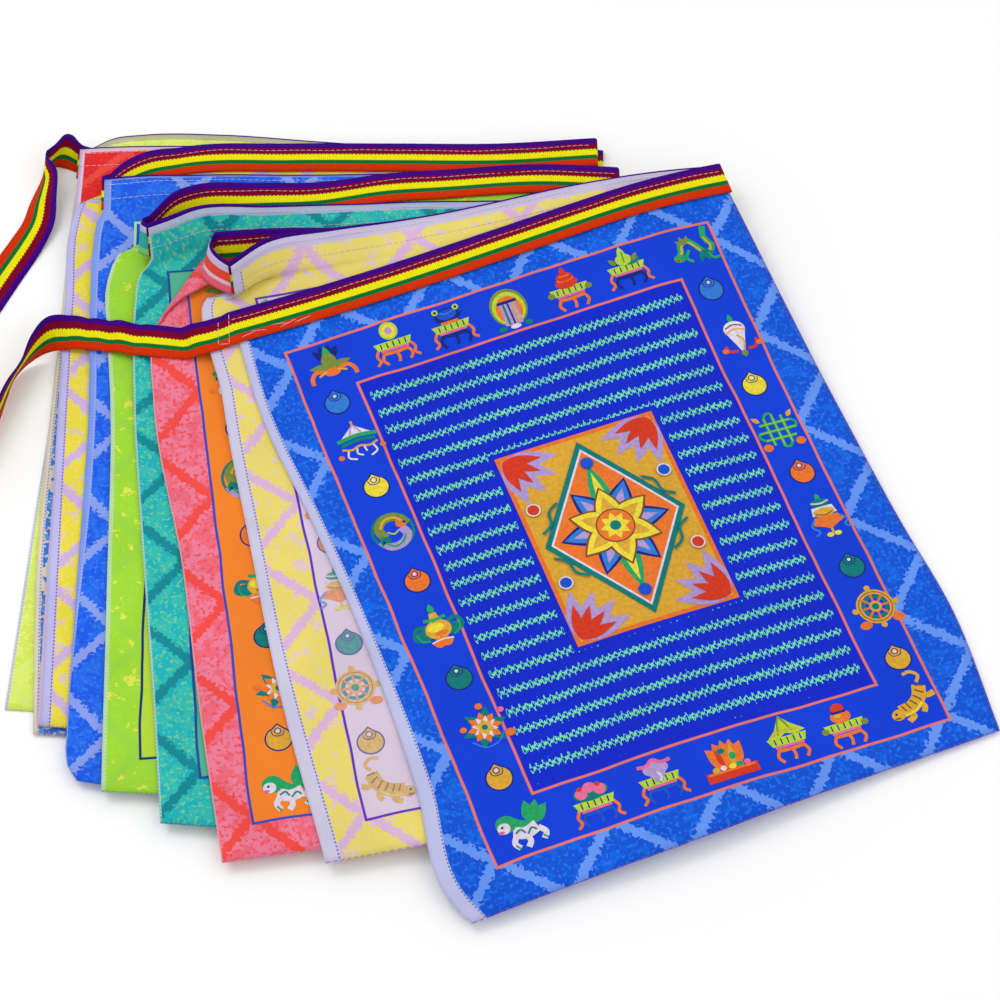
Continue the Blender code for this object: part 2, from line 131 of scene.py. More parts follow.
# Screen colours of each flag's print, front to back. patches is the level above which the
# noise shows as patches, so a lower one covers more.
CLOTHS = [
    dict(ground=(0, 84, 218), leaf=(28, 116, 240), patch=(0, 100, 232), lattice=(104, 154, 248),
         line=(238, 122, 96), band=(0, 62, 220), middle=(0, 36, 204), marks=(128, 238, 158),
         hem=(196, 198, 236), stitch=(112, 122, 190), patches=0.80, hem_width=5.5,
         rim=(150, 80, 190)),
    dict(ground=(230, 204, 208), leaf=(238, 220, 150), patch=(242, 222, 108),
         lattice=(226, 186, 222), line=(98, 48, 190), band=(224, 206, 226),
         middle=(218, 204, 228), marks=(190, 196, 206), hem=(212, 206, 232),
         stitch=(112, 118, 196), patches=0.58, hem_width=6.5,
         rim=(170, 120, 200)),
    dict(ground=(244, 108, 128), leaf=(250, 82, 92), patch=(244, 128, 156), lattice=(250, 76, 70),
         line=(44, 74, 186), band=(250, 134, 38), middle=(246, 112, 24), marks=(252, 226, 96),
         hem=(250, 150, 156), stitch=(240, 180, 190), patches=0.70, hem_width=0.8,
         rim=(230, 150, 160)),
    dict(ground=(20, 184, 190), leaf=(112, 206, 160), patch=(48, 194, 182), lattice=(6, 140, 150),
         line=(30, 72, 160), band=(86, 188, 148), middle=(70, 176, 140), marks=(220, 240, 160),
         hem=(180, 226, 226), stitch=(150, 200, 210), patches=0.72, hem_width=1.0,
         rim=(60, 120, 190)),
    dict(ground=(164, 226, 52), leaf=(176, 226, 70), patch=(232, 236, 84), lattice=(160, 222, 66),
         line=(20, 40, 112), band=(188, 226, 60), middle=(188, 226, 60), marks=(240, 240, 150),
         hem=(196, 232, 170), stitch=(180, 210, 180), patches=0.88, hem_width=2.2,
         rim=(120, 180, 80)),
    dict(ground=(22, 92, 238), leaf=(52, 126, 248), patch=(30, 108, 244), lattice=(140, 164, 244),
         line=(190, 240, 150), band=(0, 80, 220), middle=(0, 60, 210), marks=(112, 228, 182),
         hem=(128, 160, 242), stitch=(180, 176, 240), patches=0.72, hem_width=4.0,
         rim=(60, 90, 200)),
    dict(ground=(242, 226, 64), leaf=(244, 228, 110), patch=(230, 204, 190), lattice=(214, 184, 226),
         line=(98, 48, 190), band=(224, 206, 226), middle=(218, 204, 228), marks=(190, 196, 206),
         hem=(196, 192, 240), stitch=(148, 84, 186), patches=0.84, hem_width=5.2,
         rim=(190, 170, 120)),
    dict(ground=(236, 34, 26), leaf=(240, 52, 44), patch=(230, 36, 40), lattice=(242, 76, 66),
         line=(44, 74, 186), band=(240, 80, 40), middle=(240, 80, 40), marks=(252, 226, 96),
         hem=(222, 194, 226), stitch=(236, 220, 236), patches=0.74, hem_width=3.0,
         rim=(190, 60, 60)),
    dict(ground=(56, 122, 222), leaf=(222, 214, 190), patch=(90, 150, 224), lattice=(224, 216, 192),
         line=(30, 72, 160), band=(120, 190, 150), middle=(120, 190, 150), marks=(220, 240, 160),
         hem=(230, 220, 200), stitch=(150, 150, 200), patches=0.76, hem_width=3.0,
         rim=(240, 160, 140)),
    dict(ground=(232, 250, 110), leaf=(242, 252, 140), patch=(222, 244, 96), lattice=(228, 248, 120),
         line=(150, 160, 120), band=(232, 250, 110), middle=(232, 250, 110), marks=(240, 240, 150),
         hem=(222, 226, 230), stitch=(190, 198, 206), patches=0.74, hem_width=1.6,
         rim=(200, 214, 110)),
]
# How much wider each flag's hem is at the bottom than at the top, in millimetres.
HEM_WIDENING = (3.0, 1.5, 0.0, 0.0, 0.0, -3.4, 0.0, 0.0, 0.0, 0.0)

# Raw top edge of the flags that lie face down: its width in millimetres and its screen colour.
RAW_EDGES = {
    1: (6.0, (208, 198, 228)), 3: (4.4, (176, 186, 214)), 5: (0.9, (120, 150, 240)),
    7: (2.6, (232, 196, 214)), 9: (3.4, (196, 194, 150)),
}

# Screen colours of the motifs' inks, and what a print fades towards on the cloth's back.
INKS = {
    "navy": (16, 34, 128), "blue": (24, 84, 214), "sky": (52, 128, 226), "teal": (0, 128, 124),
    "green": (36, 172, 104), "lime": (190, 222, 58), "olive": (128, 146, 60),
    "yellow": (246, 226, 62), "gold": (232, 176, 54), "orange": (246, 124, 44),
    "red": (226, 58, 28), "pink": (240, 112, 160), "brown": (134, 78, 48),
    "lavender": (186, 160, 218), "white": (236, 226, 240),
}
FADING = 0.45
BACK_OF_PRINT = (222, 204, 216)

# Motifs in millimetres around their middle, x right and y down. Each shape has a kind, an ink
# and numbers. disc: centre and two radii. leaf: root, length, width, heading clockwise from up.
# ring: centre, radius, width. line: width, then its points. area: its corners.
SCARVES = [
    ("line", "orange", 1.6, -9, 2, -11, 6, -10, 9, -12.5, 11.5),
    ("line", "orange", 1.6, 9, 2, 11, 6, 10, 9, 12.5, 11.5),
]
TRAY = [
    ("area", "lime", -11, -1.8, 11, -1.8, 9, 2.8, -9, 2.8),
    *[("line", "navy", 0.7, x, -1.2, x, 2.2) for x in (-7, -3.5, 0, 3.5, 7)],
    ("line", "pink", 1.4, -8, 3.6, 8, 3.6),
]
KNOT = [(-5, -9, -5, 9), (5, -9, 5, 9), (0, -11, 0, 11), (-9, -5, 9, -5), (-9, 5, 9, 5),
        (-11, 0, 11, 0)]
TIGER_STRIPES = [(-7, 3, -6, 7), (-4, 2.6, -3, 7), (-1, 2.2, 1, 6.4), (2, 0.6, 4.6, 5),
                 (4.6, -1.6, 8, 2), (6, -4, 10, -2)]


def lines(ink, width, paths):
    """Lines of one ink and width, one for each path."""
    return [("line", ink, width, *path) for path in paths]


def discs(ink, across, down, spots):
    """Discs of one ink and size, one at each spot."""
    return [("disc", ink, x, y, across, down) for x, y in spots]


def corner_fans(ink, length, width):
    """Four leaves in each corner of the panel, that point away from its sides."""
    corners = ((-42, -58.5, 100), (42, -58.5, 188), (-42, 58.5, 8), (42, 58.5, -80))
    return [leaf for x, y, first in corners
            for leaf in fan(ink, x, y, length, width, range(first, first + 73, 24))]


def four_ways(kind, ink, size, *points):
    """A shape as it is, and mirrored in x, in y and in both; size is what comes before or after
    its points, which are x and y in turn."""
    shapes = []
    for down in (1, -1):
        for across in (1, -1):
            turned = [value * sign for value, sign in zip(points, (across, down) * len(points))]
            shapes.append((kind, ink, size[0], *turned) if kind == "line"
                          else (kind, ink, *turned, *size))
    return shapes


def legs(ink):
    """Curved legs of a small offering table."""
    return [("line", ink, 2.0, -7.5, 5.4, 0, 5.8, 7.5, 5.4),
            *lines(ink, 1.7, ((-7, 5.5, -8.4, 9, -6.4, 12.4), (0, 5.5, 0.8, 9, 0, 12.2),
                              (7, 5.5, 8.4, 9, 6.4, 12.4)))]


def jewel(ink):
    """A round drop with a small spiral at its tip."""
    return [("disc", "navy", 0, 0.6, 7.3, 7.1), ("area", "navy", -4.6, -4.4, 0, -8.6, 4.6, -4.4),
            ("disc", ink, 0, 0.6, 6.5, 6.3), ("area", ink, -3.6, -4.2, 0, -7.6, 3.6, -4.2),
            ("ring", "navy", 0, -4.0, 1.7, 0.5), ("disc", "white", 0, -4.0, 0.9, 0.9),
            ("line", "navy", 0.5, -3.4, -4.4, -2.6, -1.9, 0, -1.1, 2.6, -1.9, 3.4, -4.4)]


def fan(ink, x, y, length, width, headings):
    """Leaves that spread from one root."""
    return [("leaf", ink, x, y, length, width, heading) for heading in headings]


SYMBOLS = {
    "bird": [
        *fan("navy", 0, -2, 11, 5, (-40, -14, 14, 40)), ("leaf", "green", 0, -1, 11, 5, 0),
        ("disc", "olive", 0, -2, 4.2, 5.2), *fan("olive", 0, 2, 12, 5, (-80, 80)),
        ("line", "orange", 2.4, -4, 4, -9, 3, -12, 6, -12.5, 10),
        ("line", "orange", 2.4, 4, 4, 9, 3, 12, 6, 12.5, 10), ("disc", "orange", 0, 5, 4.6, 2.6),
        ("line", "gold", 1.2, -3, 4, -8, 6), ("line", "gold", 1.2, 3, 4, 8, 6)],
    "mirror": SCARVES + TRAY + legs("orange") + [
        ("disc", "lime", 0, -8, 5.2, 5.6), ("disc", "yellow", 0, -8, 4.0, 4.4),
        ("disc", "lavender", 0, -8, 2.0, 2.3)],
    "bowl": SCARVES + TRAY + legs("navy") + [
        ("disc", "navy", 0, -6.6, 7.2, 4.8), ("disc", "blue", 0, -7.4, 5.6, 3.2),
        ("line", "orange", 1.6, -5, -2.4, 5, -2.4),
        *discs("lime", 1.8, 1.8, ((-6, -10.4), (6, -10.4))),
        *discs("navy", 0.8, 0.8, ((-6, -10.4), (6, -10.4))),
        ("line", "sky", 0.9, -4, -9, 0, -7.8, 4, -9)],
    "arch": [
        ("disc", "olive", 0, -1, 10.5, 12), ("disc", "lime", 0, -0.4, 9.2, 10.6),
        ("disc", "orange", 0, 0.4, 7.4, 8.8), ("area", "lavender", -4.6, -4, 4.6, -4, 5, 10, -5, 10),
        ("line", "navy", 1.8, -5.6, -4.6, 5.6, -4.6), ("line", "teal", 1.3, -2.4, -3.6, -2.6, 9.6),
        ("line", "navy", 1.0, 0.2, -3.6, 0.2, 9.6), ("line", "gold", 1.2, 2.8, -3.6, 3.0, 9.6),
        ("disc", "teal", -7.5, 11.2, 2.4, 1.6), ("disc", "teal", 7.5, 11.2, 2.4, 1.6),
        ("disc", "white", 0, 11.4, 3.0, 1.4)],
    "stack": TRAY + legs("orange") + [
        ("disc", "red", 0, -4, 6.4, 3.2), ("disc", "orange", 0, -6.6, 5.0, 1.6),
        ("disc", "red", 0, -8, 4.8, 2.6), ("leaf", "red", 0, -8.6, 6, 3.6, 0),
        ("line", "orange", 0.9, -3, -8.6, 3, -8.6),
        ("disc", "olive", -11, 1.4, 2.0, 1.8), ("disc", "olive", 11, 1.4, 2.0, 1.8)],
    "fruit": SCARVES + TRAY + legs("navy") + [
        ("disc", "teal", 4, -3.4, 5.0, 2.6), ("disc", "lime", 0, -5, 4.6, 3.6),
        ("leaf", "lime", 0, -5, 8.5, 4.4, 0), ("leaf", "olive", -5, -3, 5.5, 3.0, -38),
        ("leaf", "olive", 5, -3, 5.5, 3.0, 38), ("line", "green", 0.8, 0, -3, 0.6, -10)],
    "dragon": [
        ("line", "green", 3.6, -12, 6, -8, 2, -7, -3, -2, -5, 2, 0, 6, 5, 11, 2, 8, -5, 10, -12),
        ("line", "gold", 1.2, -11, 5, -7.4, 1.4, -6, -3, -2, -4, 2, 1, 6, 5.6, 10, 2, 7.6, -5),
        ("disc", "green", -10, 5, 3.6, 2.6), *fan("olive", -4, -3, 6, 2.6, (-60, -20, 30)),
        *fan("teal", 4, 3, 8, 3.0, (120, 160, 200)), ("line", "green", 1.8, -3, 1, -6, 6, -3, 9),
        ("line", "green", 1.8, 7, 5, 9, 9, 13, 9), ("disc", "red", -11.4, 6, 1.2, 0.9)],
    "parasol": [
        ("area", "white", -9, -3, 0, -10.5, 9, -3), ("line", "lavender", 0.9, -4, -3, 0, -10, 4, -3),
        ("line", "gold", 1.2, 0, -13, 0, -9.6), ("line", "green", 2.4, -11, -2, 0, -3.4, 11, -2),
        ("line", "teal", 2.2, -9.6, 1, 0, -0.4, 9.6, 1),
        ("line", "gold", 1.3, -10, 3.2, -5, 4.8, 0, 3.4, 5, 4.8, 10, 3.2),
        *lines("white", 1.1, ((-7, 5, -8, 9, -4, 11.4), (7, 5, 8, 9, 4, 11.4))),
        *lines("white", 1.0, ((-2, 4.6, -2.6, 8, 0, 9.8), (2, 4.6, 2.6, 8))),
        ("disc", "orange", -12, 8, 1.6, 1.6), ("disc", "orange", 12, 6.6, 1.6, 1.6)],
    "fishes": [
        ("ring", "teal", 0, 0, 11, 1.6), ("line", "olive", 5.2, 9, -2, 4, -8, -3, -8, -7, -3, -5, 3),
        ("line", "gold", 1.4, 7, -4, 3, -8, -3, -7.4, -6, -3),
        ("line", "lavender", 4.8, -8, 4, -4, 9, 3, 8.6, 7, 4, 5, -1),
        ("line", "green", 1.2, -6, 6, -2, 9.4, 3, 8, 6, 4),
        *fan("teal", -6, 2, 6, 3.6, (150, 200)), *fan("orange", 5, -1, 5, 3.2, (-20, 30)),
        ("disc", "navy", 7.4, -3.6, 0.8, 0.8), ("disc", "navy", -6.6, 5.4, 0.8, 0.8),
        ("line", "lime", 0.9, -3, 0, 0, 2, 3, 0.6)],
    "vase": [
        ("line", "teal", 2.4, -4, 0, -11, -1, -13, 5, -8, 7), ("disc", "teal", 8, 4, 4.6, 3.6),
        ("line", "teal", 2.4, 4, 0, 11, -2, 13, 3, 8, 7), ("disc", "teal", -8, 4, 4.6, 3.6),
        ("line", "green", 0.9, -12, 2, -10, 7, -6, 8), ("line", "green", 0.9, 12, 0, 11, 5, 7, 8),
        ("disc", "gold", 0, 2.4, 7.0, 5.8), ("disc", "yellow", -1.2, 1.0, 4.6, 2.8),
        ("area", "gold", -2.8, -3, 2.8, -3, 2.0, -8, -2.0, -8),
        ("line", "green", 2.0, -6, -4.4, 0, -3.6, 6, -4.4), ("disc", "orange", 1, 5, 3.6, 1.6),
        ("leaf", "green", 0, -7.6, 6, 3.6, 0),
        *fan("orange", 0, 12.8, 6.6, 3.6, (-64, -32, 0, 32, 64)),
        ("line", "white", 0.8, -6, 9.6, 0, 8.8, 6, 9.6)],
    "lotus": [
        *fan("teal", 0, 0, 12.5, 5.6, range(20, 360, 60)),
        ("line", "sky", 0.9, -9, 6, -3, 11, 4, 10, 9, 5),
        *fan("orange", 0, 0, 9.2, 4.8, range(0, 360, 45)),
        *fan("white", 0, 0, 7.0, 2.8, range(22, 360, 45)),
        *fan("gold", 0, 0, 5.2, 3.2, range(0, 360, 60)), ("disc", "teal", 0, 0, 1.6, 1.6),
        ("disc", "orange", 1, -12.4, 2.0, 1.8), ("disc", "orange", 11.4, 7, 2.6, 2.2),
        ("disc", "orange", -11, -2, 1.8, 1.6), ("disc", "pink", 11, -7, 1.8, 1.6)],
    "lion": [
        *fan("green", 5, 1, 13, 7, (0, 26, 52)), ("line", "green", 5.0, -6, -4, -1, 0, 4, 2),
        ("line", "white", 6.4, -6, 3, 0, 5, 7, 3),
        *lines("white", 3.0, ((-5, 5, -7, 9, -5, 12), (0, 6, 1, 10, -1, 12.6), (7, 4, 10, 8, 8, 11))),
        ("disc", "green", -8, -2.4, 5.4, 4.8), ("disc", "white", -9.6, -0.6, 3.4, 3.0),
        ("disc", "pink", -11.4, 1.2, 1.6, 0.9), ("disc", "navy", -10.2, -1.4, 0.7, 0.7),
        *lines("teal", 0.9, ((-5, 4, -2, 2.6, 0, 5), (1, 6, 4, 3.4, 6, 5))),
        *lines("green", 1.0, ((-7, 10, -5, 12.6), (8, 9, 10, 11)))],
    "shell_tall": [
        ("leaf", "green", 0, -9, 5.5, 3.2, 0), ("disc", "white", 0, -5, 6.2, 4.8),
        ("area", "white", -5.6, -3, 5.6, -3, 2.6, 5, 0.8, 10, -0.8, 10, -2.6, 5),
        ("line", "brown", 0.8, -5, -6, 0, -7.6, 5, -6), ("line", "gold", 0.9, -6, -3, 0, -4.8, 6, -3),
        ("line", "gold", 1.1, 0, -1, 2.4, 3, 0.6, 9), ("line", "red", 1.7, -3, 9, -8, 8, -9, 4.6),
        ("line", "red", 1.7, 3, 9, 8, 8, 9.6, 3.6), ("disc", "orange", -10, 7.4, 1.8, 1.6),
        ("disc", "orange", 10.4, 6.4, 1.8, 1.6), ("leaf", "olive", 0, 9, 4.5, 4.0, 180)],
    "knot": [
        *lines("green", 2.0, KNOT), *lines("lime", 0.5, KNOT),
        *lines("green", 1.6, ((-5, -9, -2.5, -11.4, 0, -11), (0, 11, 2.5, 11.4, 5, 9),
                              (-11, 0, -11.4, 2.5, -9, 5), (9, -5, 11.4, -2.5, 11, 0))),
        *discs("orange", 2.8, 2.4, ((-9.6, 9.6), (9.6, 9.6))),
        ("leaf", "gold", -8, -7, 5.5, 2.8, -45), ("leaf", "gold", 8, -7, 5.5, 2.8, 45)],
    "banner": [
        ("leaf", "green", 0, -10, 4.5, 3.0, 0), ("disc", "teal", 0, -8.4, 5.4, 2.6),
        ("line", "white", 0.8, -5, -9, 0, -8, 5, -9), ("area", "white", -6, -6, 6, -6, 7, -1, -7, -1),
        ("disc", "gold", 0, -2.4, 6.2, 2.8), ("line", "brown", 0.7, -5, -2, 0, -0.6, 5, -2),
        ("area", "orange", -6.6, 0, 6.6, 0, 10, 3.6, 5, 5.8, 0, 8.4, -5, 5.8, -9, 4.6),
        ("line", "sky", 1.2, -7, 1, -10, 5, -7, 9, -10, 11),
        ("line", "sky", 1.2, 7, 1, 10.6, 5, 8, 8, 11, 10), ("line", "gold", 1.4, 0, 8, 0, 11),
        ("disc", "yellow", -2.2, 11.8, 2.0, 1.4), ("disc", "yellow", 2.2, 11.8, 2.0, 1.4)],
    "wheel": [
        ("disc", "orange", -9.4, 9.4, 3.4, 2.4), ("disc", "orange", 9.4, 9.4, 3.4, 2.4),
        ("ring", "teal", 0, 0, 6.2, 2.0), ("ring", "gold", 0, 0, 9.0, 2.8),
        ("ring", "brown", 0, 0, 9.0, 0.5), ("line", "orange", 1.2, -8, 0, 8, 0),
        *lines("orange", 1.2, ((0, -8, 0, 8), (-5.6, -5.6, 5.6, 5.6), (-5.6, 5.6, 5.6, -5.6))),
        ("disc", "gold", 0, 0, 3.4, 3.4), ("disc", "teal", 0, 0, 2.0, 2.0),
        *discs("gold", 1.7, 1.7, ((0, -11.6), (0, 11.6), (-11.6, 0), (11.6, 0)))],
    "tiger": [
        ("line", "gold", 1.8, 8, -5, 11, -8, 8, -12, 4, -12),
        ("line", "gold", 7.4, -9, 6, -2, 6, 4, 3, 8, -3),
        *lines("gold", 3.2, ((-5, 7, -4, 11, -8, 12.6), (6, 0, 9, 4, 13, 4))),
        ("line", "gold", 3.0, 2, 5, 4, 9, 2, 11.6), ("disc", "gold", -11, 7, 3.8, 3.2),
        *lines("brown", 0.8, TIGER_STRIPES),
        ("line", "yellow", 1.2, -8, 9, -2, 9, 4, 6.4), ("disc", "navy", -12, 6.2, 0.7, 0.7),
        ("line", "brown", 0.8, -14, 8.4, -11, 9)],
    "flowers": SCARVES + TRAY + legs("blue") + [
        ("disc", "teal", 0, -5.6, 9.4, 4.4), ("disc", "pink", -5, -6, 3.2, 3.0),
        ("disc", "pink", 0, -8.4, 3.4, 2.8), ("disc", "pink", 5, -6, 3.2, 3.0),
        ("disc", "red", -5, -8.8, 1.4, 1.2), ("disc", "red", 4.6, -8.8, 1.4, 1.2)],
    "shell": SCARVES + TRAY + legs("blue") + [
        ("disc", "lavender", 0, -6, 6.8, 4.0), ("area", "lavender", -6, -5, 6, -5, 1, 1.6, -1, 1.6),
        ("line", "white", 1.0, 0, -4, 1.4, -1, 0, 1.6),
        ("line", "pink", 2.0, -9, -9, -4, -8.6, 0, -11, 4, -8.6, 9, -9)],
    "flame": [
        *fan("orange", 0, 7, 17, 9, (-34, -16, 0, 16, 34)), ("leaf", "red", -3, 5, 11, 3, -10),
        ("leaf", "gold", 2, 5, 12, 3.6, 8), ("disc", "teal", -2, -4, 2.2, 1.6),
        ("disc", "green", 3, 0, 1.8, 2.2), ("area", "red", -14, 6.4, 14, 6.4, 14, 12, -14, 12),
        ("line", "orange", 1.2, -13, 7.4, 13, 7.4), ("disc", "gold", -8, 5.6, 2.0, 1.6),
        ("disc", "white", -4, 5.4, 1.6, 1.4), ("disc", "green", 5, 5.4, 2.0, 1.5),
        ("disc", "pink", 9, 5.4, 1.8, 1.5), ("disc", "yellow", 1, 5.6, 2.0, 1.5)],
    "tent": TRAY + legs("orange") + [
        ("area", "lime", -10, -2, -5, -6, 0, -13.6, 5, -8, 11, -3, 5, -1.6, 0, -3.4, -5, -0.6),
        ("line", "olive", 0.9, -4, -3, 0, -12.6, 4, -4), ("line", "gold", 1.0, -8, -3, 0, -5.4, 8, -4)],
    "gourd": TRAY + legs("orange") + [
        ("disc", "orange", 0, -5, 5.6, 3.8), ("disc", "red", 0, -10, 3.6, 2.8),
        ("line", "navy", 1.4, -4, -7.6, 4, -7.6), ("disc", "gold", -1.4, -5.6, 2.0, 1.2),
        ("disc", "olive", -11, 1.4, 2.0, 1.8), ("disc", "olive", 11, 1.4, 2.0, 1.8)],
    "panel": [
        ("area", "orange", -45.5, -62, 45.5, -62, 45.5, 62, -45.5, 62),
        ("area", "gold", -43, -59.5, 43, -59.5, 43, 59.5, -43, 59.5),
        *corner_fans("lavender", 30, 10), *corner_fans("red", 21, 6),
        ("area", "teal", 0, -57, 40, 0, 0, 57, -40, 0),
        ("area", "white", 0, -52, 36.4, 0, 0, 52, -36.4, 0),
        ("area", "orange", 0, -50, 35, 0, 0, 50, -35, 0),
        *fan("green", 0, 0, 42, 12, (0, 180)), *fan("yellow", 0, 0, 36, 6, (0, 180)),
        *fan("navy", 0, 0, 31, 15, range(30, 360, 60)),
        *fan("sky", 0, 0, 29, 12, range(30, 360, 60)),
        *fan("lavender", 0, 0, 24, 7, range(30, 360, 60)),
        *fan("brown", 0, 0, 25.5, 15, range(0, 360, 60)),
        *fan("yellow", 0, 0, 24, 13, range(0, 360, 60)),
        *fan("gold", 0, 0, 19, 8, range(0, 360, 60)),
        ("disc", "brown", 0, 0, 10.6, 10.6), ("disc", "orange", 0, 0, 9.8, 9.8),
        *fan("yellow", 0, 0, 8.4, 4.4, range(0, 360, 45)),
        ("disc", "teal", 0, 0, 3.0, 3.0), *discs("blue", 3.6, 3.6, ((0, -42), (0, 42))),
        ("disc", "red", -37.5, -24, 3.2, 3.2), *discs("blue", 3.2, 3.2, ((37.5, -24), (-37.5, 24))),
        ("disc", "red", 37.5, 24, 3.2, 3.2), *four_ways("ring", "white", (3.6, 0.8), -37.5, -24),
        *four_ways("line", "teal", (1.6,), -38, -8, -32, -12, -30, -20, -24, -24)],
}
for name in ("sky", "yellow", "orange", "teal", "gold"):
    SYMBOLS["jewel_" + name] = jewel(name)

# Middle of each motif in the print: motif, x and y in millimetres, turn in degrees.
LAYOUT = [
    ("bird", 20.7, 15.1, 0), ("mirror", 57.5, 14.4, 0), ("bowl", 91.2, 15.4, 0),
    ("arch", 124.8, 16.7, 0), ("stack", 160.4, 16.5, 0), ("fruit", 195.3, 14.5, 0),
    ("dragon", 236.0, 13.7, 0), ("jewel_sky", 16.4, 39.1, 0), ("parasol", 19.0, 66.1, 0),
    ("jewel_yellow", 18.5, 96.9, 0), ("fishes", 17.4, 126.9, 0), ("jewel_orange", 19.0, 160.0, 0),
    ("vase", 19.4, 189.5, 0), ("jewel_teal", 19.4, 222.7, 0), ("lotus", 21.7, 254.9, 0),
    ("jewel_gold", 18.5, 283.8, 0), ("lion", 20.4, 312.0, 0), ("jewel_sky", 235.5, 41.2, 0),
    ("shell_tall", 238.1, 73.6, 0), ("jewel_yellow", 235.1, 104.7, 0), ("knot", 235.9, 136.1, 0),
    ("jewel_orange", 237.8, 164.6, 0), ("banner", 238.8, 194.3, 0), ("jewel_teal", 239.4, 227.3, 0),
    ("wheel", 241.1, 254.4, 0), ("jewel_gold", 239.2, 286.6, 0), ("tiger", 235.2, 309.4, -10),
    ("flowers", 58.8, 313.5, 0), ("shell", 94.3, 313.1, 0), ("flame", 131.2, 313.0, 0),
    ("tent", 165.0, 312.8, 0), ("gourd", 196.2, 314.4, 0), ("panel", 129.0, 165.5, 0),
]
MOTIF_LIFT, MOTIF_STEP = 0.05, 0.012   # height of the first shape of a motif, and of each next
MOTIF_FLAGS = (0, 1, 2)                # the flags whose prints show

# Where each print lies: x and y of the corner of its outer frame line, its turn in degrees,
# which corner that is, top left or bottom left as it lies, and by how many millimetres its upper
# half is drawn together at the top.
PRINTS = [
    (-117.7, 94.2, 20.6, "top", 0.0),
    (-67.7, -187.4, 12.0, "bottom", 5.0),
    (-124.5, -188.6, 8.6, "bottom", -16.0),
    (-152.4, -162.6, 6.0, "bottom", 14.0),
    (-183.6, -151.1, 2.0, "bottom", 0.0),
    (-206.1, 188.0, 1.0, "top", 0.0),
    (-215.0, 190.0, 1.0, "top", 0.0),
    (-215.0, 190.0, 0.5, "top", 0.0),
    (-215.0, 190.0, 0.0, "top", 0.0),
    (-215.0, 190.0, -2.0, "top", 0.0),
]

# One row per flag, front to back: name, which way its print faces, and the slant of its sides
# in degrees.
FLAGS = [
    ("blue_front", "up", 20.6), ("white_front", "down", 12.0), ("red_front", "up", 10.0),
    ("green_front", "down", 5.0), ("yellow_front", "up", 2.5), ("blue_back", "down", 1.0),
    ("white_back", "up", 1.0), ("red_back", "down", 0.5), ("green_back", "up", 0.0),
    ("yellow_back", "down", -2.0),
]

# Top edge of the ribbon along each flag, left to right: x, y, tilt. Tilt 0 lies flat, tilt 90
# stands on the lower edge.
RUNS = [
    [(-150, 119, 0), (-111, 132, 0), (-61, 150, 0), (0, 174, 0), (62, 199, 0), (123, 223, 0)],
    [(-149, 137, 66), (-130, 155, 54), (-95, 169, 31), (-55, 181, 10), (-5, 194, 0),
     (35, 205, 0), (75, 214, 0), (123, 225, 0)],
    [(-158, 164, 48), (-130, 169, 38), (-95, 174, 20), (-60, 178, 3), (0, 188, 0),
     (50, 198, 0), (104, 208, 0)],
    [(-196, 167, 62), (-186, 173, 56), (-170, 184, 44), (-130, 192, 20), (-57, 199, 0),
     (-5, 200, 0), (50, 202, 0), (104, 207, 0)],
    [(-197, 176, 58), (-182, 196, 48), (-171, 203, 38), (-140, 209, 20), (-103, 213, 6),
     (-67, 220, 0), (-31, 223, 0), (22, 227, 0), (66, 225, 0)],
    [(-225, 217, 14), (-200, 221, 8), (-172, 223, 0), (-114, 223, 0), (-50, 224, 0),
     (10, 225, 0), (65, 224, 0)],
    [(-223, 221, 14), (-215, 230, 14), (-201, 239, 10), (-184, 244, 0), (-120, 247, 0),
     (-60, 247, 0), (0, 247, 0), (54, 251, 0)],
    [(-242, 247, 0), (-228, 248, 0), (-173, 249, 0), (-115, 249, 0), (-60, 248, 0),
     (0, 247, 0), (53, 250, 0)],
    [(-242, 246, 0), (-228, 247, 0), (-173, 247, 0), (-115, 247, 0), (-60, 246, 0),
     (0, 245, 0), (56, 247, 0)],
    [(-236, 252, 0), (-225, 259, 0), (-207, 262, 0), (-161, 262, 0), (-105, 257, 0),
     (-68, 254, 0), (0, 252, 0), (58, 250, 0)],
]

# Left edge of each flag below the ribbon, top to bottom: x, y. The first point is the
# ribbon's lower edge and is found from its run.
LEFT_EDGES = [
    [(-132, 62), (-98, -17), (-74, -76), (-42, -172), (-26, -230), (-14, -243)],
    [(-159, 132), (-151, 66), (-133, -23), (-112, -121), (-87, -211)],
    [(-168, 152), (-178, 138), (-191, 110), (-189, 67), (-167, -42), (-155, -120), (-139, -210)],
    [(-202, 150), (-203, 135), (-200, 69), (-190, -23), (-178, -122), (-171, -188)],
    [(-212, 168), (-219, 150), (-217, 110), (-213, 70), (-207, -50), (-202, -170)],
    [(-228, 188), (-229, 170), (-228, 126), (-225, 71), (-223, -75), (-222, -132),
     (-220, -156), (-215, -163)],
    [(-239, 206), (-243, 190), (-243, 140), (-242, 79), (-239, -30), (-236, -131)],
    [(-242, 200), (-242, 140), (-241, 70), (-240, -30), (-238, -130)],
    [(-244, 200), (-245, 140), (-246, 70), (-246, -29), (-240, -134)],
    [(-242, 200), (-243, 140), (-246, 70), (-250, -5), (-256, -119)],
]

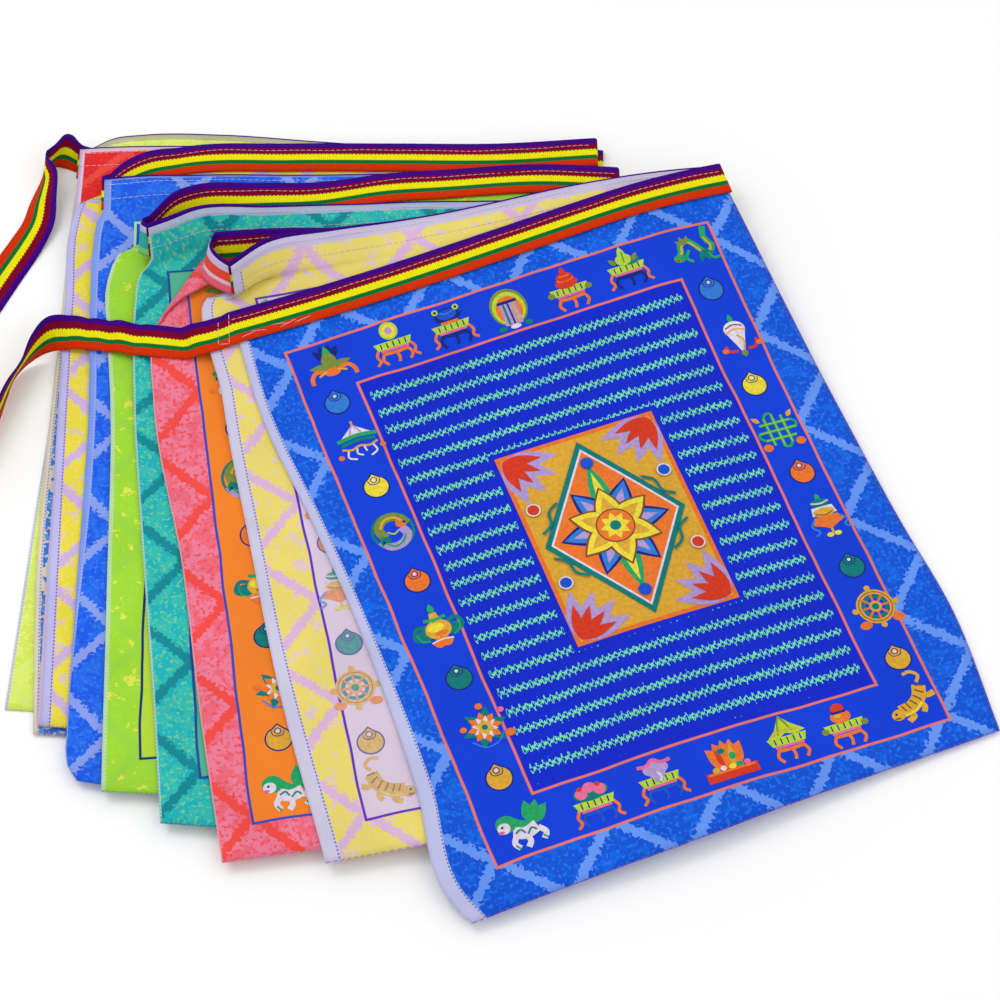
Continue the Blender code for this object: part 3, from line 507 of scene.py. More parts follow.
# Bottom edge of each flag from its left to its right corner: x, y.
BOTTOM_EDGES = [
    [(18, -230), (51, -217), (100, -198), (160, -172), (210, -151), (257, -132)],
    [(-36, -201), (80, -179), (203, -152)],
    [(-91, -203), (30, -187), (156, -168)],
    [(-143, -190), (-20, -186), (116, -180)],
    [(-174, -171), (-40, -171), (95, -170)],
    [(-203, -165), (-60, -165), (78, -163)],
    [(-222, -132), (-80, -132), (62, -132)],
    [(-224, -131), (-90, -131), (57, -131)],
    [(-222, -135), (-90, -135), (56, -135)],
    [(-242, -120), (-100, -121), (48, -122)],
]

# Right edge of the front flag below the ribbon; the others are straight: x, y.
FRONT_RIGHT_EDGE = [(184, 71), (214, -4), (238, -59)]

# Corners of the box of stitches on the front run, and ends of the loose threads: x, y.
BOX_STITCH = [(-155.5, 117.5), (-149.5, 117.5), (-148.5, 99.5), (-154.5, 99.5)]
LOOSE_ENDS = [((-142, 103), (-134, 107)), ((-137, 107), (-128, 108)), ((-126, 111), (-117, 112.5)),
              ((-121, 109.5), (-112, 115)), ((-113, 112.5), (-104, 117))]

# Bands of the cloth around an open turn, for the run before it: start and screen colour.
LININGS = {
    1: [(0.0, (206, 192, 230)), (6.4, (238, 74, 50)), (12.4, (236, 196, 214)),
        (14.8, (240, 100, 122))],
    3: [(0.0, (186, 186, 214)), (5.6, (40, 172, 168)), (15.5, (120, 200, 110))],
}
LINING_ROWS, LINING_LIFT = 12, 0.9     # rows of that cloth, and how far it lies off the ribbon

# Turned corner of the red flag, from the ribbon to its tip: x, y and height over the flag,
# along its outer edge and along the edge that stands free.
CORNER_LEFT = [(-165.7, 158, 0.8), (-171.3, 149, 0.8), (-177.0, 139, 0.8), (-183.6, 126.6, 0.8),
               (-189.6, 115, 0.8)]
CORNER_FREE = [(-157.0, 142.5, 5.5), (-166.8, 137, 5.0), (-176.6, 131, 4.0),
               (-183.0, 124.6, 2.4), (-187.6, 116.6, 0.9)]
CORNER_STEPS, CORNER_ROWS = 24, 9      # points along the turned corner, and across it
CORNER_RIM = [(1.04, 0.5), (1.05, 1.4), (1.02, 2.2)]    # its rolled rim: share of the width, drop
CORNER_GAP = 0.4        # least height of the turned corner over the flag
CORNER_WIDTH, CORNER_LENGTH = 12.0, 62.0    # how much of the print it shows
CORNER_PLACES = {"cloth": (12.0, 30.0), "print": (-17.0, 200.0)}    # where its UV layers start
FAR_FROM_EDGES = 200.0  # a distance from the flag's far edges at which their rim doesn't show
RAY_HEIGHT = 500.0      # height over the pile from which a search looks down

# Free tails from the pile outwards: x and y of the lower edge, heading of the width in
# degrees (0 towards the viewer, 90 to the right), and tilt, which passes 90 where it leans over.
FRONT_TAIL = [(-168, 93, 10, 0), (-184, 94, 4, 0), (-201, 96, 0, 0), (-215, 100, -4, 0),
              (-229, 103, -2, 4), (-243, 104, 2, 30), (-255, 101, 14, 82),
              (-263, 96, 36, 104), (-268, 89, 54, 108), (-271, 77, 66, 100),
              (-274, 62, 74, 94), (-283, 36, 72, 90), (-295, 10, 72, 90)]
BACK_TAIL = [(-243, 234, -4, 0), (-250, 237, -12, 16), (-257, 238, -34, 60),
             (-261, 235, -80, 80), (-265, 224, -96, 52), (-269, 211, -98, 34),
             (-272, 198, -103, 16), (-278, 185, -110, 4), (-284, 173, -114, 0),
             (-297, 145, -115, 0), (-312, 113, -115, 0)]


def lengths(points):
    """Length along a curve at each of its points."""
    return np.r_[0.0, np.cumsum(np.linalg.norm(np.diff(points, axis=0), axis=1))]


def spline(rows, count, crowding=1.0):
    """Points on a smooth curve through the rows; a crowding above 1 brings them to its start."""
    rows = np.asarray(rows, float)
    at = lengths(rows[:, :2])
    slope = np.gradient(rows, at, axis=0, edge_order=1)
    where = at[-1] * np.linspace(0.0, 1.0, count) ** crowding
    left = np.clip(np.searchsorted(at, where, side="right") - 1, 0, len(at) - 2)
    span = (at[left + 1] - at[left])[:, None]
    t = (where[:, None] - at[left][:, None]) / span
    h00 = (1 + 2 * t) * (1 - t) ** 2
    h01 = t * t * (3 - 2 * t)
    return (h00 * rows[left] + t * (1 - t) ** 2 * span * slope[left]
            + h01 * rows[left + 1] + t * t * (t - 1) * span * slope[left + 1])


def ramp(distance, reach):
    """1 up to the margin beyond an edge, then falling smoothly to 0 over the reach."""
    t = np.clip((distance - EDGE_MARGIN) / reach, 0.0, 1.0)
    return 1.0 - t * t * (3.0 - 2.0 * t)


def unit(v):
    """Rows of v at length 1."""
    return v / np.linalg.norm(v, axis=-1, keepdims=True)


def down_slope(heading, tilt):
    """Direction from the ribbon's top edge to its lower edge."""
    a, b = np.radians(heading), np.radians(tilt)
    return np.stack([np.sin(a) * np.cos(b), -np.cos(a) * np.cos(b), -np.sin(b)], axis=-1)


class Run:
    """Plan of the ribbon along one flag, left to right."""

    def __init__(self, index):
        rows = spline(RUNS[index], RUN_SECTIONS, RUN_CROWDING)
        self.top = rows[:, :2]
        self.tilt = np.clip(rows[:, 2], 0.0, 89.0)
        self.down = down_slope(np.full(RUN_SECTIONS, FLAGS[index][2]), self.tilt)
        self.low = self.top + RIBBON_W * self.down[:, :2]


class Outline:
    """Plan outline of one flag: left and right edges as x(y), top and bottom as y(x)."""

    def __init__(self, index, run):
        start = run.low[0]
        end = run.low[-1]
        side = FRONT_RIGHT_EDGE if index == 0 else []
        corner = LEFT_EDGES[index][-1]
        self.left = spline([tuple(start)] + LEFT_EDGES[index], 40)
        self.bottom = spline([corner] + BOTTOM_EDGES[index], 40)
        self.right = spline([tuple(end)] + side + [BOTTOM_EDGES[index][-1]], 40)
        self.top = run.low
        self.back = run.top

    def cover(self, x, y, reach):
        """1 over the flag, falling to 0 over the reach around it."""
        left = np.interp(-y, -self.left[:, 1], self.left[:, 0])
        right = np.interp(-y, -self.right[:, 1], self.right[:, 0])
        back = np.interp(x, self.back[:, 0], self.back[:, 1])
        front = np.interp(x, self.bottom[:, 0], self.bottom[:, 1])
        return (ramp(left - x, reach) * ramp(x - right, reach)
                * ramp(y - back, reach) * ramp(front - y, reach))

    def place(self, across, down):
        """Plan points of the patch between the four edges; across and down run from 0 to 1."""
        s, t = across[:, None, None], down[None, :, None]
        top = curve_at(self.top, across)[:, None]
        bottom = curve_at(self.bottom, across)[:, None]
        left, right = bow(self.left, down)[None], bow(self.right, down)[None]
        return ((1 - t) * top + t * bottom + (1 - s) ** BOW_FADE * left + s ** BOW_FADE * right)


def curve_at(points, where):
    """Points at the given fractions of a curve's length."""
    at = lengths(points)
    return np.stack([np.interp(where * at[-1], at, points[:, i]) for i in (0, 1)], axis=-1)


def bow(points, where):
    """How far a curve lies from the straight line between its ends, at fractions of its length."""
    straight = (1 - where[:, None]) * points[0] + where[:, None] * points[-1]
    return curve_at(points, where) - straight


class Pile:
    """Heights of the pile: which layers lie under a given one, and where."""

    def __init__(self):
        self.runs = [Run(i) for i in range(len(FLAGS))]
        self.outlines = [Outline(i, run) for i, run in enumerate(self.runs)]
        self.order = []
        for index in reversed(range(len(FLAGS))):
            pair = [("cloth", index), ("ribbon", index)]
            self.order += pair if FLAGS[index][1] == "up" else pair[::-1]

    def ribbon_cover(self, index, x, y, reach):
        """1 over one run of the ribbon, falling to 0 over the reach around it."""
        run = self.runs[index]
        back = np.interp(x, run.top[:, 0], run.top[:, 1])
        front = np.interp(x, run.low[:, 0], run.low[:, 1])
        return (ramp(y - back, reach) * ramp(front - y, reach)
                * ramp(run.top[0, 0] - x, reach) * ramp(x - run.top[-1, 0], reach))

    def cover(self, layer, x, y, reach):
        """1 over one layer, falling to 0 over the reach around it."""
        kind, index = layer
        if kind == "cloth":
            return self.outlines[index].cover(x, y, reach)
        return self.ribbon_cover(index, x, y, reach)

    def below(self, layer):
        """The layers under a given one, from the bottom up."""
        return self.order[:self.order.index(layer)]

    def height(self, layer, x, y):
        """Height of the middle of a layer that drapes over those below it."""
        total = np.full(np.shape(x), CLOTH_T / 2)
        for lower in self.below(layer):
            total += PITCH * self.cover(lower, x, y, FLAG_DRAPE)
        return total

    def seat(self, layer, x, y):
        """Height of a narrow tail that leaves a layer and drops close beside each edge."""
        heights = [PITCH + self.height(lower, x, y) for lower in self.below(layer)]
        covers = [self.cover(lower, x, y, TAIL_DRAPE) for lower in self.below(layer)]
        return max([CLOTH_T / 2] + [h * c for h, c in zip(heights, covers)])

    def strip(self, kind, index):
        """Top and lower edge of a run's ribbon, or of the cloth sewn to it, as 3-D points."""
        run = self.runs[index]
        under = "cloth" if FLAGS[index][1] == "up" else "ribbon"
        low_z = (self.height((under, index), run.low[:, 0], run.low[:, 1])
                 + BEND_R * (1 - np.cos(np.radians(run.tilt))))
        flat_z = self.height((under, index), run.top[:, 0], run.top[:, 1])
        top_z = np.maximum(flat_z, low_z - RIBBON_W * run.down[:, 2])
        low = np.column_stack([run.low, low_z])
        top = np.column_stack([run.top, top_z])
        if kind != under:
            along = np.gradient(0.5 * (top + low), axis=0)
            spacing = PITCH + TILT_SPACING * np.sin(np.radians(run.tilt))
            lift = spacing[:, None] * unit(np.cross(low - top, along))
            top, low = top + lift, low + lift
        return top, low


def cloth_grid(pile, index):
    """Middle surface of one flag: columns left to right, rows from its top edge down."""
    run = pile.runs[index]
    top, low = pile.strip("cloth", index)
    top = top + (low - top) * SEAM_INSET / RIBBON_W
    band = [(1 - t) * top + t * low for t in np.linspace(0.0, 1.0, BAND_ROWS)]
    across = lengths(run.low)
    across = across / across[-1]
    down = sheet_rows() / FLAG_LENGTH
    plan = pile.outlines[index].place(across, down)
    plan = plan + (low[:, None, :2] - run.low[:, None, :]) * (1 - down)[None, :, None] ** 8
    layer = ("cloth", index)
    rise = low[:, 2] - pile.height(layer, low[:, 0], low[:, 1])
    tilt = np.radians(np.maximum(run.tilt, 12.0))
    length = 3 * BEND_R * (1 - np.cos(tilt)) / np.tan(tilt)
    fade = np.clip(1 - down[None, :] * FLAG_LENGTH / length[:, None], 0.0, 1.0) ** 3
    z = pile.height(layer, plan[..., 0], plan[..., 1]) + rise[:, None] * fade
    z += wrinkles(plan, index) * np.clip(down * FLAG_LENGTH / WRINKLE_START - 1.0, 0.0, 1.0)
    sheet = np.concatenate([plan, z[..., None]], axis=-1)
    return np.concatenate([np.stack(band, axis=1), sheet], axis=1)


def wrinkles(plan, index):
    """Soft wrinkles of a flag, low enough to stay within its solid."""
    x, y, phase = plan[..., 0], plan[..., 1], 1.7 * index
    fine = np.sin(x / 11.0 + 1.4 * np.sin(y / 41.0 + phase) + phase) * np.sin(y / 57.0 + 0.8 * phase)
    broad = np.sin((0.4 * x + y) / 24.0 + phase) * np.sin(x / 43.0 - 0.5 * phase)
    return WRINKLE * (0.55 * fine + 0.45 * broad)


def sheet_rows():
    """Distances of a flag's rows below the ribbon, closer where the cloth bends."""
    near = np.array([1.0, 2.0, 3.2, 4.6, 6.2, 8.0, 10.0, 12.5, 15.5, 19.0, 23.0, 27.0])
    far = np.linspace(31.5, FLAG_LENGTH, 66)
    return np.r_[near, far]


def flat_fold(top, low, outward, drop):
    """Sections of a pressed turn at the right end: a half round from one run to the next."""
    steps = np.linspace(0.0, math.pi, FOLD_STEPS + 2)[1:-1]
    radius = 0.5 * drop
    sections = []
    for a in steps:
        part = 0.5 * (1 - math.cos(a))
        push = outward * radius * math.sin(a)
        sections.append(((1 - part) * top[0] + part * top[1] + push,
                         (1 - part) * low[0] + part * low[1] + push))
    return sections


def standing_fold(top, low, outward):
    """Sections of an open turn at the left end, where the ribbon stands on its lower edge."""
    lean = np.array([-1.0, 0.0, -1.0]) * LEAN * np.linalg.norm(top[1] - top[0])
    sections = []
    for t in np.linspace(0.0, 1.0, FOLD_STEPS + 2)[1:-1]:
        bulge = 4 * t * (1 - t)
        down = (1 - t) * (low[0] - top[0]) + t * (low[1] - top[1])
        down = unit(down + bulge * lean) * RIBBON_W
        point = (1 - t) * top[0] + t * top[1] + bulge * outward
        sections.append((point, point + down))
    return sections


def tail_sections(pile, rows, joint, layer):
    """Sections of a free tail from the pile outwards, resting on its lower edge."""
    start = (joint[1][0], joint[1][1], rows[0][2], rows[0][3])
    rows = spline([start] + rows, TAIL_STEPS * len(rows))
    sections = []
    for x, y, heading, tilt in rows[TAIL_STEPS // 2:]:
        down = RIBBON_W * down_slope(heading, tilt)
        low = np.array([x, y, 0.0])
        top = low - down
        low[2] = pile.seat(layer, low[0], low[1])
        top[2] = max(pile.seat(layer, top[0], top[1]), low[2] - down[2])
        sections.append((top, low))
    return sections


def ribbon_sections(pile):
    """Top and lower edge of the whole ribbon, from the front tail's end to the back tail's."""
    strips = [pile.strip("ribbon", i) for i in range(len(FLAGS))]
    joint = (strips[0][0][0], strips[0][1][0])
    sections = tail_sections(pile, FRONT_TAIL, joint, ("ribbon", 0))[::-1]
    for index, (top, low) in enumerate(strips):
        forward = FLAGS[index][1] == "up"
        order = range(RUN_SECTIONS) if forward else range(RUN_SECTIONS - 1, -1, -1)
        sections += [(top[i], low[i]) for i in order]
        if index + 1 < len(strips):
            sections += turn_sections(strips, index)
    joint = (strips[-1][0][0], strips[-1][1][0])
    return sections + tail_sections(pile, BACK_TAIL, joint, ("ribbon", len(FLAGS) - 1))


def turn_sections(strips, index):
    """Sections of the turn from one run of the ribbon to the next."""
    top, low = strips[index]
    forward = FLAGS[index][1] == "up"
    end = -1 if forward else 0
    tops = (top[end], strips[index + 1][0][end])
    lows = (low[end], strips[index + 1][1][end])
    if forward:
        return flat_fold(tops, lows, unit(top[-1] - top[-2]), 3 * PITCH)
    outward = np.array([-1.0, 0.0, 0.0])
    spread = np.linalg.norm(tops[1] - tops[0])
    if spread < PRESSED_SPREAD:
        return flat_fold(tops, lows, outward, spread)
    return standing_fold(tops, lows, outward * (2.0 + 0.12 * spread))


def grid_normals(grid):
    """Upward unit normals of a grid of points."""
    across = np.gradient(grid, axis=0)
    down = np.gradient(grid, axis=1)
    return unit(np.cross(down, across))


def linear(colour):
    """A screen colour, 0 to 255, as the light values that shaders use."""
    c = np.array(colour) / 255.0
    low, high = c / 12.92, ((c + 0.055) / 1.055) ** 2.4
    return (*np.where(c <= 0.04045, low, high).tolist(), 1.0)


class Graph:
    """Short calls that add shader nodes to a new material."""

    def __init__(self, name, roughness):
        self.mat = bpy.data.materials.new(name)
        self.mat.use_nodes = True
        self.tree = self.mat.node_tree
        self.shader = self.tree.nodes["Principled BSDF"]
        self.shader.inputs["Roughness"].default_value = roughness

    def add(self, kind, **settings):
        """A new node of a kind, with its settings."""
        node = self.tree.nodes.new("ShaderNode" + kind)
        for key, value in settings.items():
            setattr(node, key, value)
        return node

    def put(self, socket, value):
        """Links a socket to an input, or sets the input to a value."""
        if isinstance(value, bpy.types.NodeSocket):
            self.tree.links.new(value, socket)
        else:
            socket.default_value = value

    def math(self, operation, a, b=0.0):
        """Result of one Math node."""
        node = self.add("Math", operation=operation)
        self.put(node.inputs[0], a)
        self.put(node.inputs[1], b)
        return node.outputs[0]

    def uv(self, name):
        """The two coordinates of a UV layer, in millimetres."""
        node = self.add("SeparateXYZ")
        self.put(node.inputs[0], self.add("UVMap", uv_map=name).outputs["UV"])
        return node.outputs["X"], node.outputs["Y"]

    def point(self, x, y):
        """A vector from two coordinates."""
        node = self.add("CombineXYZ")
        self.put(node.inputs["X"], x)
        self.put(node.inputs["Y"], y)
        return node.outputs[0]

    def noise(self, vector, size, detail=2.0):
        """Noise from 0 to 1 whose lumps have a size in millimetres."""
        node = self.add("TexNoise")
        self.put(node.inputs["Vector"], vector)
        self.put(node.inputs["Scale"], 1.0 / size)
        self.put(node.inputs["Detail"], detail)
        return node.outputs["Fac"]

    def stray(self, vector, size, detail, reach):
        """Noise around 0, by up to half the reach either way."""
        centred = self.math("SUBTRACT", self.noise(vector, size, detail), 0.5)
        return self.math("MULTIPLY", centred, reach)

    def step(self, x, edge, soft):
        """0 below an edge and 1 above it, blurred over a width."""
        node = self.add("MapRange", interpolation_type="SMOOTHSTEP")
        self.put(node.inputs["Value"], x)
        self.put(node.inputs["From Min"], edge - soft / 2)
        self.put(node.inputs["From Max"], edge + soft / 2)
        return node.outputs["Result"]

    def below(self, x, edge, soft):
        """1 below an edge and 0 above it."""
        return self.math("SUBTRACT", 1.0, self.step(x, edge, soft))

    def mix(self, factor, a, b, blend="MIX"):
        """Colour a where the factor is 0, and colour b, or its blend with a, where it is 1."""
        node = self.add("Mix", data_type="RGBA", blend_type=blend)
        self.put(node.inputs["Factor"], factor)
        self.put(node.inputs["A"], a)
        self.put(node.inputs["B"], b)
        return next(out for out in node.outputs if out.type == "RGBA")

    def fold(self, x, period, offset=0.0):
        """Distance from the middle of each period, as a share of the period, 0 to 0.5."""
        share = self.math("FRACT", self.math("DIVIDE", self.math("ADD", x, offset), period))
        return self.math("ABSOLUTE", self.math("SUBTRACT", share, 0.5))

    def box(self, x, y, low, high):
        """Distance outside a rectangle, negative inside it."""
        sides = []
        for value, a, b in ((x, low[0], high[0]), (y, low[1], high[1])):
            middle = self.math("ABSOLUTE", self.math("SUBTRACT", value, (a + b) / 2))
            sides.append(self.math("SUBTRACT", middle, (b - a) / 2))
        return self.math("MAXIMUM", *sides)

    def bump(self, height, distance):
        """Feeds a height to the shader's normal; distance is in metres."""
        node = self.add("Bump")
        node.inputs["Distance"].default_value = distance
        self.put(node.inputs["Height"], height)
        self.put(self.shader.inputs["Normal"], node.outputs["Normal"])


def trellis(g, x, y, colours):
    """Border print: dense small foliage that thins out along the pale bands of a lattice."""
    p = g.point(x, y)
    fine = g.noise(p, LEAF_SIZE, 2.0)
    across = g.fold(x, LATTICE_X)
    down = g.fold(y, LATTICE_Y, LATTICE_Y / 2 - LATTICE_START)
    off = g.math("ABSOLUTE", g.math("SUBTRACT", g.math("ADD", across, down), 0.5))
    thinning = g.math("MULTIPLY", g.below(off, BAND_CORE, 0.07), BAND_THINNING)
    foliage = g.step(g.math("SUBTRACT", fine, thinning), FOLIAGE_LEVEL, 0.035)
    small = g.math("MULTIPLY", g.noise(p, 2.4, 2.0), 0.45)
    patch = g.step(g.math("ADD", g.noise(p, 9.0, 1.0), small), colours["patches"], 0.04)
    leaves = g.mix(patch, linear(colours["ground"]), linear(colours["patch"]))
    band = g.step(off, BAND_HALF, 0.03)
    pale = g.mix(band, linear(colours["lattice"]), linear(colours["leaf"]))
    return g.mix(foliage, pale, leaves)


def mark_rows(g, x, y):
    """Rows of small open lozenges with dots and drops between them."""
    row = g.math("MULTIPLY", g.fold(y, ROW_PITCH, ROW_PITCH / 2 - ROW_START), ROW_PITCH)
    wide = g.math("MULTIPLY", g.fold(x, MARK_PITCH), MARK_PITCH)
    uneven = g.stray(g.point(x, y), 1.5, 1.0, MARK_STRAY)
    lozenge = g.math("ADD", g.math("DIVIDE", wide, MARK_HALF_W), g.math("DIVIDE", row, MARK_HALF_H))
    ring = g.math("ABSOLUTE", g.math("SUBTRACT", g.math("ADD", lozenge, uneven), MARK_RING))
    marks = g.below(ring, MARK_LINE, 0.12)
    between = g.math("MULTIPLY", g.fold(x, MARK_PITCH, MARK_PITCH / 2), MARK_PITCH)
    dot = g.math("ADD", g.math("DIVIDE", between, DOT_HALF_W), g.math("DIVIDE", row, DOT_HALF_H))
    return g.math("MAXIMUM", marks, g.below(dot, 1.0, 0.25))


def flag_material(index):
    """Printed cloth of one flag, with its frame, border, rows of marks and hem."""
    colours = CLOTHS[index]
    g = Graph("printed_cloth_%02d" % (index + 1), CLOTH_ROUGHNESS)
    colour = printed_fields(g, colours)
    a, b = g.uv("cloth")
    widening = g.math("MULTIPLY", g.step(b, 270.0, 140.0), HEM_WIDENING[index])
    hem = g.math("SUBTRACT", a, widening)
    colour = g.mix(g.below(hem, colours["hem_width"], 0.3), colour, linear(colours["hem"]))
    seam = g.math("ABSOLUTE", g.math("SUBTRACT", hem, colours["hem_width"] - 0.6))
    dashes = g.math("MULTIPLY", g.below(seam, 0.42, 0.2), g.below(g.fold(b, HEM_STITCH), 0.27, 0.1))
    colour = g.mix(dashes, colour, linear(colours["stitch"]))
    if index in RAW_EDGES:
        width, raw = RAW_EDGES[index]
        frayed = g.math("MULTIPLY", g.noise(g.point(a, b), 7.0, 2.0), 1.6)
        colour = g.mix(g.below(g.math("ADD", b, frayed), width + 0.8, 0.6), colour, linear(raw))
    right, bottom = g.uv("far")
    rim = g.below(g.math("MINIMUM", right, bottom), RIM_W, 0.3)
    rim = g.math("MULTIPLY", rim, g.below(g.fold(g.math("ADD", a, b), RIM_STITCH), 0.33, 0.1))
    colour = g.mix(g.math("MULTIPLY", rim, 0.7), colour, linear(colours["rim"]))
    cloth_finish(g, colour, a, b)
    return g.mat


def printed_fields(g, colours):
    """Colour of the print: the border, the fields, the rows of marks and the frame lines."""
    x, y = g.uv("print")
    sway = g.stray(g.point(x, y), 40.0, 1.0, PRINT_SWAY)
    x, y = g.math("ADD", x, sway), g.math("ADD", y, sway)
    outer = g.box(x, y, (0.0, 0.0), (FRAME_W, FRAME_H))
    inner = g.box(x, y, INNER_LOW, INNER_HIGH)
    colour = trellis(g, x, y, colours)
    colour = g.mix(g.below(outer, 0.0, PRINT_BLUR), colour, linear(colours["band"]))
    colour = g.mix(g.below(inner, 0.0, PRINT_BLUR), colour, linear(colours["middle"]))
    rows = g.math("MULTIPLY", mark_rows(g, x, y), g.below(inner, -4.0, 1.0))
    panel = g.box(x, y, PANEL_LOW, PANEL_HIGH)
    rows = g.math("MULTIPLY", rows, g.step(panel, 3.0, 0.5))
    colour = g.mix(rows, colour, linear(colours["marks"]))
    edges = g.math("MINIMUM", g.math("ABSOLUTE", outer), g.math("ABSOLUTE", inner))
    return g.mix(g.below(edges, FRAME_LINE, 0.5), colour, linear(colours["line"]))


def cloth_finish(g, colour, a, b):
    """Thread, soft wrinkles and slight unevenness of thin cloth; a and b are millimetres."""
    weave = g.math("ADD", g.fold(a, THREAD_PITCH), g.fold(b, THREAD_PITCH))
    thread = g.math("MULTIPLY", weave, THREAD_SHADE)
    lumps = g.step(g.noise(g.point(a, b), 48.0, 2.0), 0.5, 0.6)
    shade = g.math("ADD", thread, g.math("MULTIPLY", lumps, UNEVEN_SHADE))
    g.put(g.shader.inputs["Base Color"], g.mix(shade, colour, linear(CLOTH_SHADE), "MULTIPLY"))
    soft = g.math("MULTIPLY", g.noise(g.point(a, b), 26.0, 2.0), 5.5)
    g.bump(g.math("ADD", g.math("MULTIPLY", thread, 2.5), soft), CLOTH_BUMP)
    g.shader.inputs["Specular IOR Level"].default_value = 0.12
    g.shader.inputs["Sheen Weight"].default_value = 0.03


def ink_material(name, colour, faded):
    """Ink of the motifs on the cloth; a faded one is seen from the back of the print."""
    g = Graph("ink_%s%s" % (name, "_back" if faded else ""), 0.6)
    shown = [c + (back - c) * FADING * faded for c, back in zip(colour, BACK_OF_PRINT)]
    x, y = g.uv("print")
    blot = g.math("MULTIPLY", g.step(g.noise(g.point(x, y), 2.2, 2.0), 0.5, 0.3), 0.30)
    tint = g.mix(blot, linear(shown), linear([0.72 * c for c in shown]))
    cloth_finish(g, tint, x, y)
    return g.mat


def stripes(g, place, rows, blur):
    """Colour of a row of stripes, each from its start to the next one's."""
    colour = linear(rows[0][1])
    for start, stripe in rows[1:]:
        colour = g.mix(g.step(place, start, blur), colour, linear(stripe))
    return colour


def ribbon_material():
    """Woven ribbon with five stripes, ribs across it with painted shade between them, and a dotted line
    in the yellow.
    """
    g = Graph("ribbon_weave", 0.75)
    u, v = g.uv("cloth")
    rib = g.math("MULTIPLY", g.fold(u, RIB_PITCH), 2.0)
    uneven = g.math("MULTIPLY", g.math("SUBTRACT", rib, 0.5), 0.35)
    colour = stripes(g, g.math("ADD", v, uneven), STRIPES, 0.25)
    dots = g.math("MULTIPLY", g.below(g.math("ABSOLUTE", g.math("SUBTRACT", v, DOT_ROW)), 0.28, 0.2),
                  g.below(g.fold(u, 2 * RIB_PITCH), 0.2, 0.1))
    colour = g.mix(dots, colour, linear((120, 50, 20)))
    worn = g.math("MULTIPLY", g.noise(g.point(u, v), 3.0, 3.0), 0.25)
    # painted shade: the grooves between the ribs, where the bump is lowest, are darkened; worn adds
    # uneven darkening at random
    shade = g.math("ADD", g.math("MULTIPLY", g.step(rib, 0.85, 0.3), 0.35), worn)
    colour = g.mix(shade, colour, linear((120, 110, 130)), "MULTIPLY")
    g.put(g.shader.inputs["Base Color"], colour)
    g.bump(g.math("ADD", g.math("SUBTRACT", 1.0, rib), worn), 0.00030)
    g.shader.inputs["Specular IOR Level"].default_value = 0.05
    return g.mat


def thread_material():
    """Pale polyester thread, twisted along its length."""
    g = Graph("stitching_thread", 0.5)
    u, v = g.uv("cloth")
    twist = g.math("MULTIPLY", g.fold(g.math("ADD", u, v), 0.8), 2.0)
    g.put(g.shader.inputs["Base Color"],
          g.mix(twist, linear((246, 226, 240)), linear((216, 186, 214))))
    g.bump(twist, 0.0001)
    return g.mat


def mesh_object(name, bm, mat):
    """A named piece from a bmesh, with its normals outwards."""
    bmesh.ops.recalc_face_normals(bm, faces=bm.faces)
    mesh = bpy.data.meshes.new(name)
    bm.to_mesh(mesh)
    bm.free()
    mesh.materials.append(mat)
    mesh.shade_smooth()
    obj = bpy.data.objects.new(name, mesh)
    bpy.context.scene.collection.objects.link(obj)
    return obj


def placed(point):
    """A point of the tables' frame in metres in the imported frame."""
    return (point + SHIFT) * MM


def plain_material(name, colour, roughness):
    """A plain material, for the stage."""
    mat = bpy.data.materials.new(name)
    mat.use_nodes = True
    shader = mat.node_tree.nodes["Principled BSDF"]
    shader.inputs["Base Color"].default_value = (*colour, 1.0)
    shader.inputs["Roughness"].default_value = roughness
    return mat


def sheet_mesh(grid, thickness, uv_layers):
    """A thin closed sheet around a grid; uv_layers maps a name to a pair of values per point."""
    offset = grid_normals(grid) * thickness / 2
    columns, rows = grid.shape[:2]
    bm = bmesh.new()
    layers = {name: bm.loops.layers.uv.new(name) for name in uv_layers}
    sides = []
    for side in (grid + offset, grid - offset):
        sides.append([[bm.verts.new(placed(p)) for p in column] for column in side])
    upper, lower = sides

    def face(corners, keys):
        made = bm.faces.new(corners)
        for loop, key in zip(made.loops, keys):
            for name, layer in layers.items():
                loop[layer].uv = uv_layers[name][key]

    for i in range(columns - 1):
        for j in range(rows - 1):
            keys = ((i, j), (i, j + 1), (i + 1, j + 1), (i + 1, j))
            face([upper[k][m] for k, m in keys], keys)
            face([lower[k][m] for k, m in keys[::-1]], keys[::-1])
    rim = ([(i, 0) for i in range(columns)] + [(columns - 1, j) for j in range(1, rows)]
           + [(i, rows - 1) for i in range(columns - 2, -1, -1)]
           + [(0, j) for j in range(rows - 2, 0, -1)])
    for a, b in zip(rim, rim[1:] + rim[:1]):
        face([upper[a[0]][a[1]], upper[b[0]][b[1]], lower[b[0]][b[1]], lower[a[0]][a[1]]],
             (a, b, b, a))
    return bm


def cloth_uv(grid):
    """Distances in millimetres from the flag's left edge and from its top edge."""
    across = np.linalg.norm(np.diff(grid, axis=0), axis=-1).cumsum(axis=0)
    down = np.linalg.norm(np.diff(grid, axis=1), axis=-1).cumsum(axis=1)
    across = np.concatenate([np.zeros((1, grid.shape[1])), across])
    down = np.concatenate([np.zeros((grid.shape[0], 1)), down], axis=1)
    return np.stack([across, down], axis=-1)


def print_uv(grid, index):
    """Place of each point in the print: millimetres from the frame's corner, right and down."""
    x, y, angle, side, gather = PRINTS[index]
    a = math.radians(angle)
    dx, dy = grid[..., 0] - x, grid[..., 1] - y
    right = dx * math.cos(a) + dy * math.sin(a)
    down = dx * math.sin(a) - dy * math.cos(a)
    if side == "bottom":
        down = down + FRAME_H
    upper = (down - gather) / (1 - 2 * gather / FRAME_H)
    return np.stack([right, np.where(upper < FRAME_H / 2, upper, down)], axis=-1)


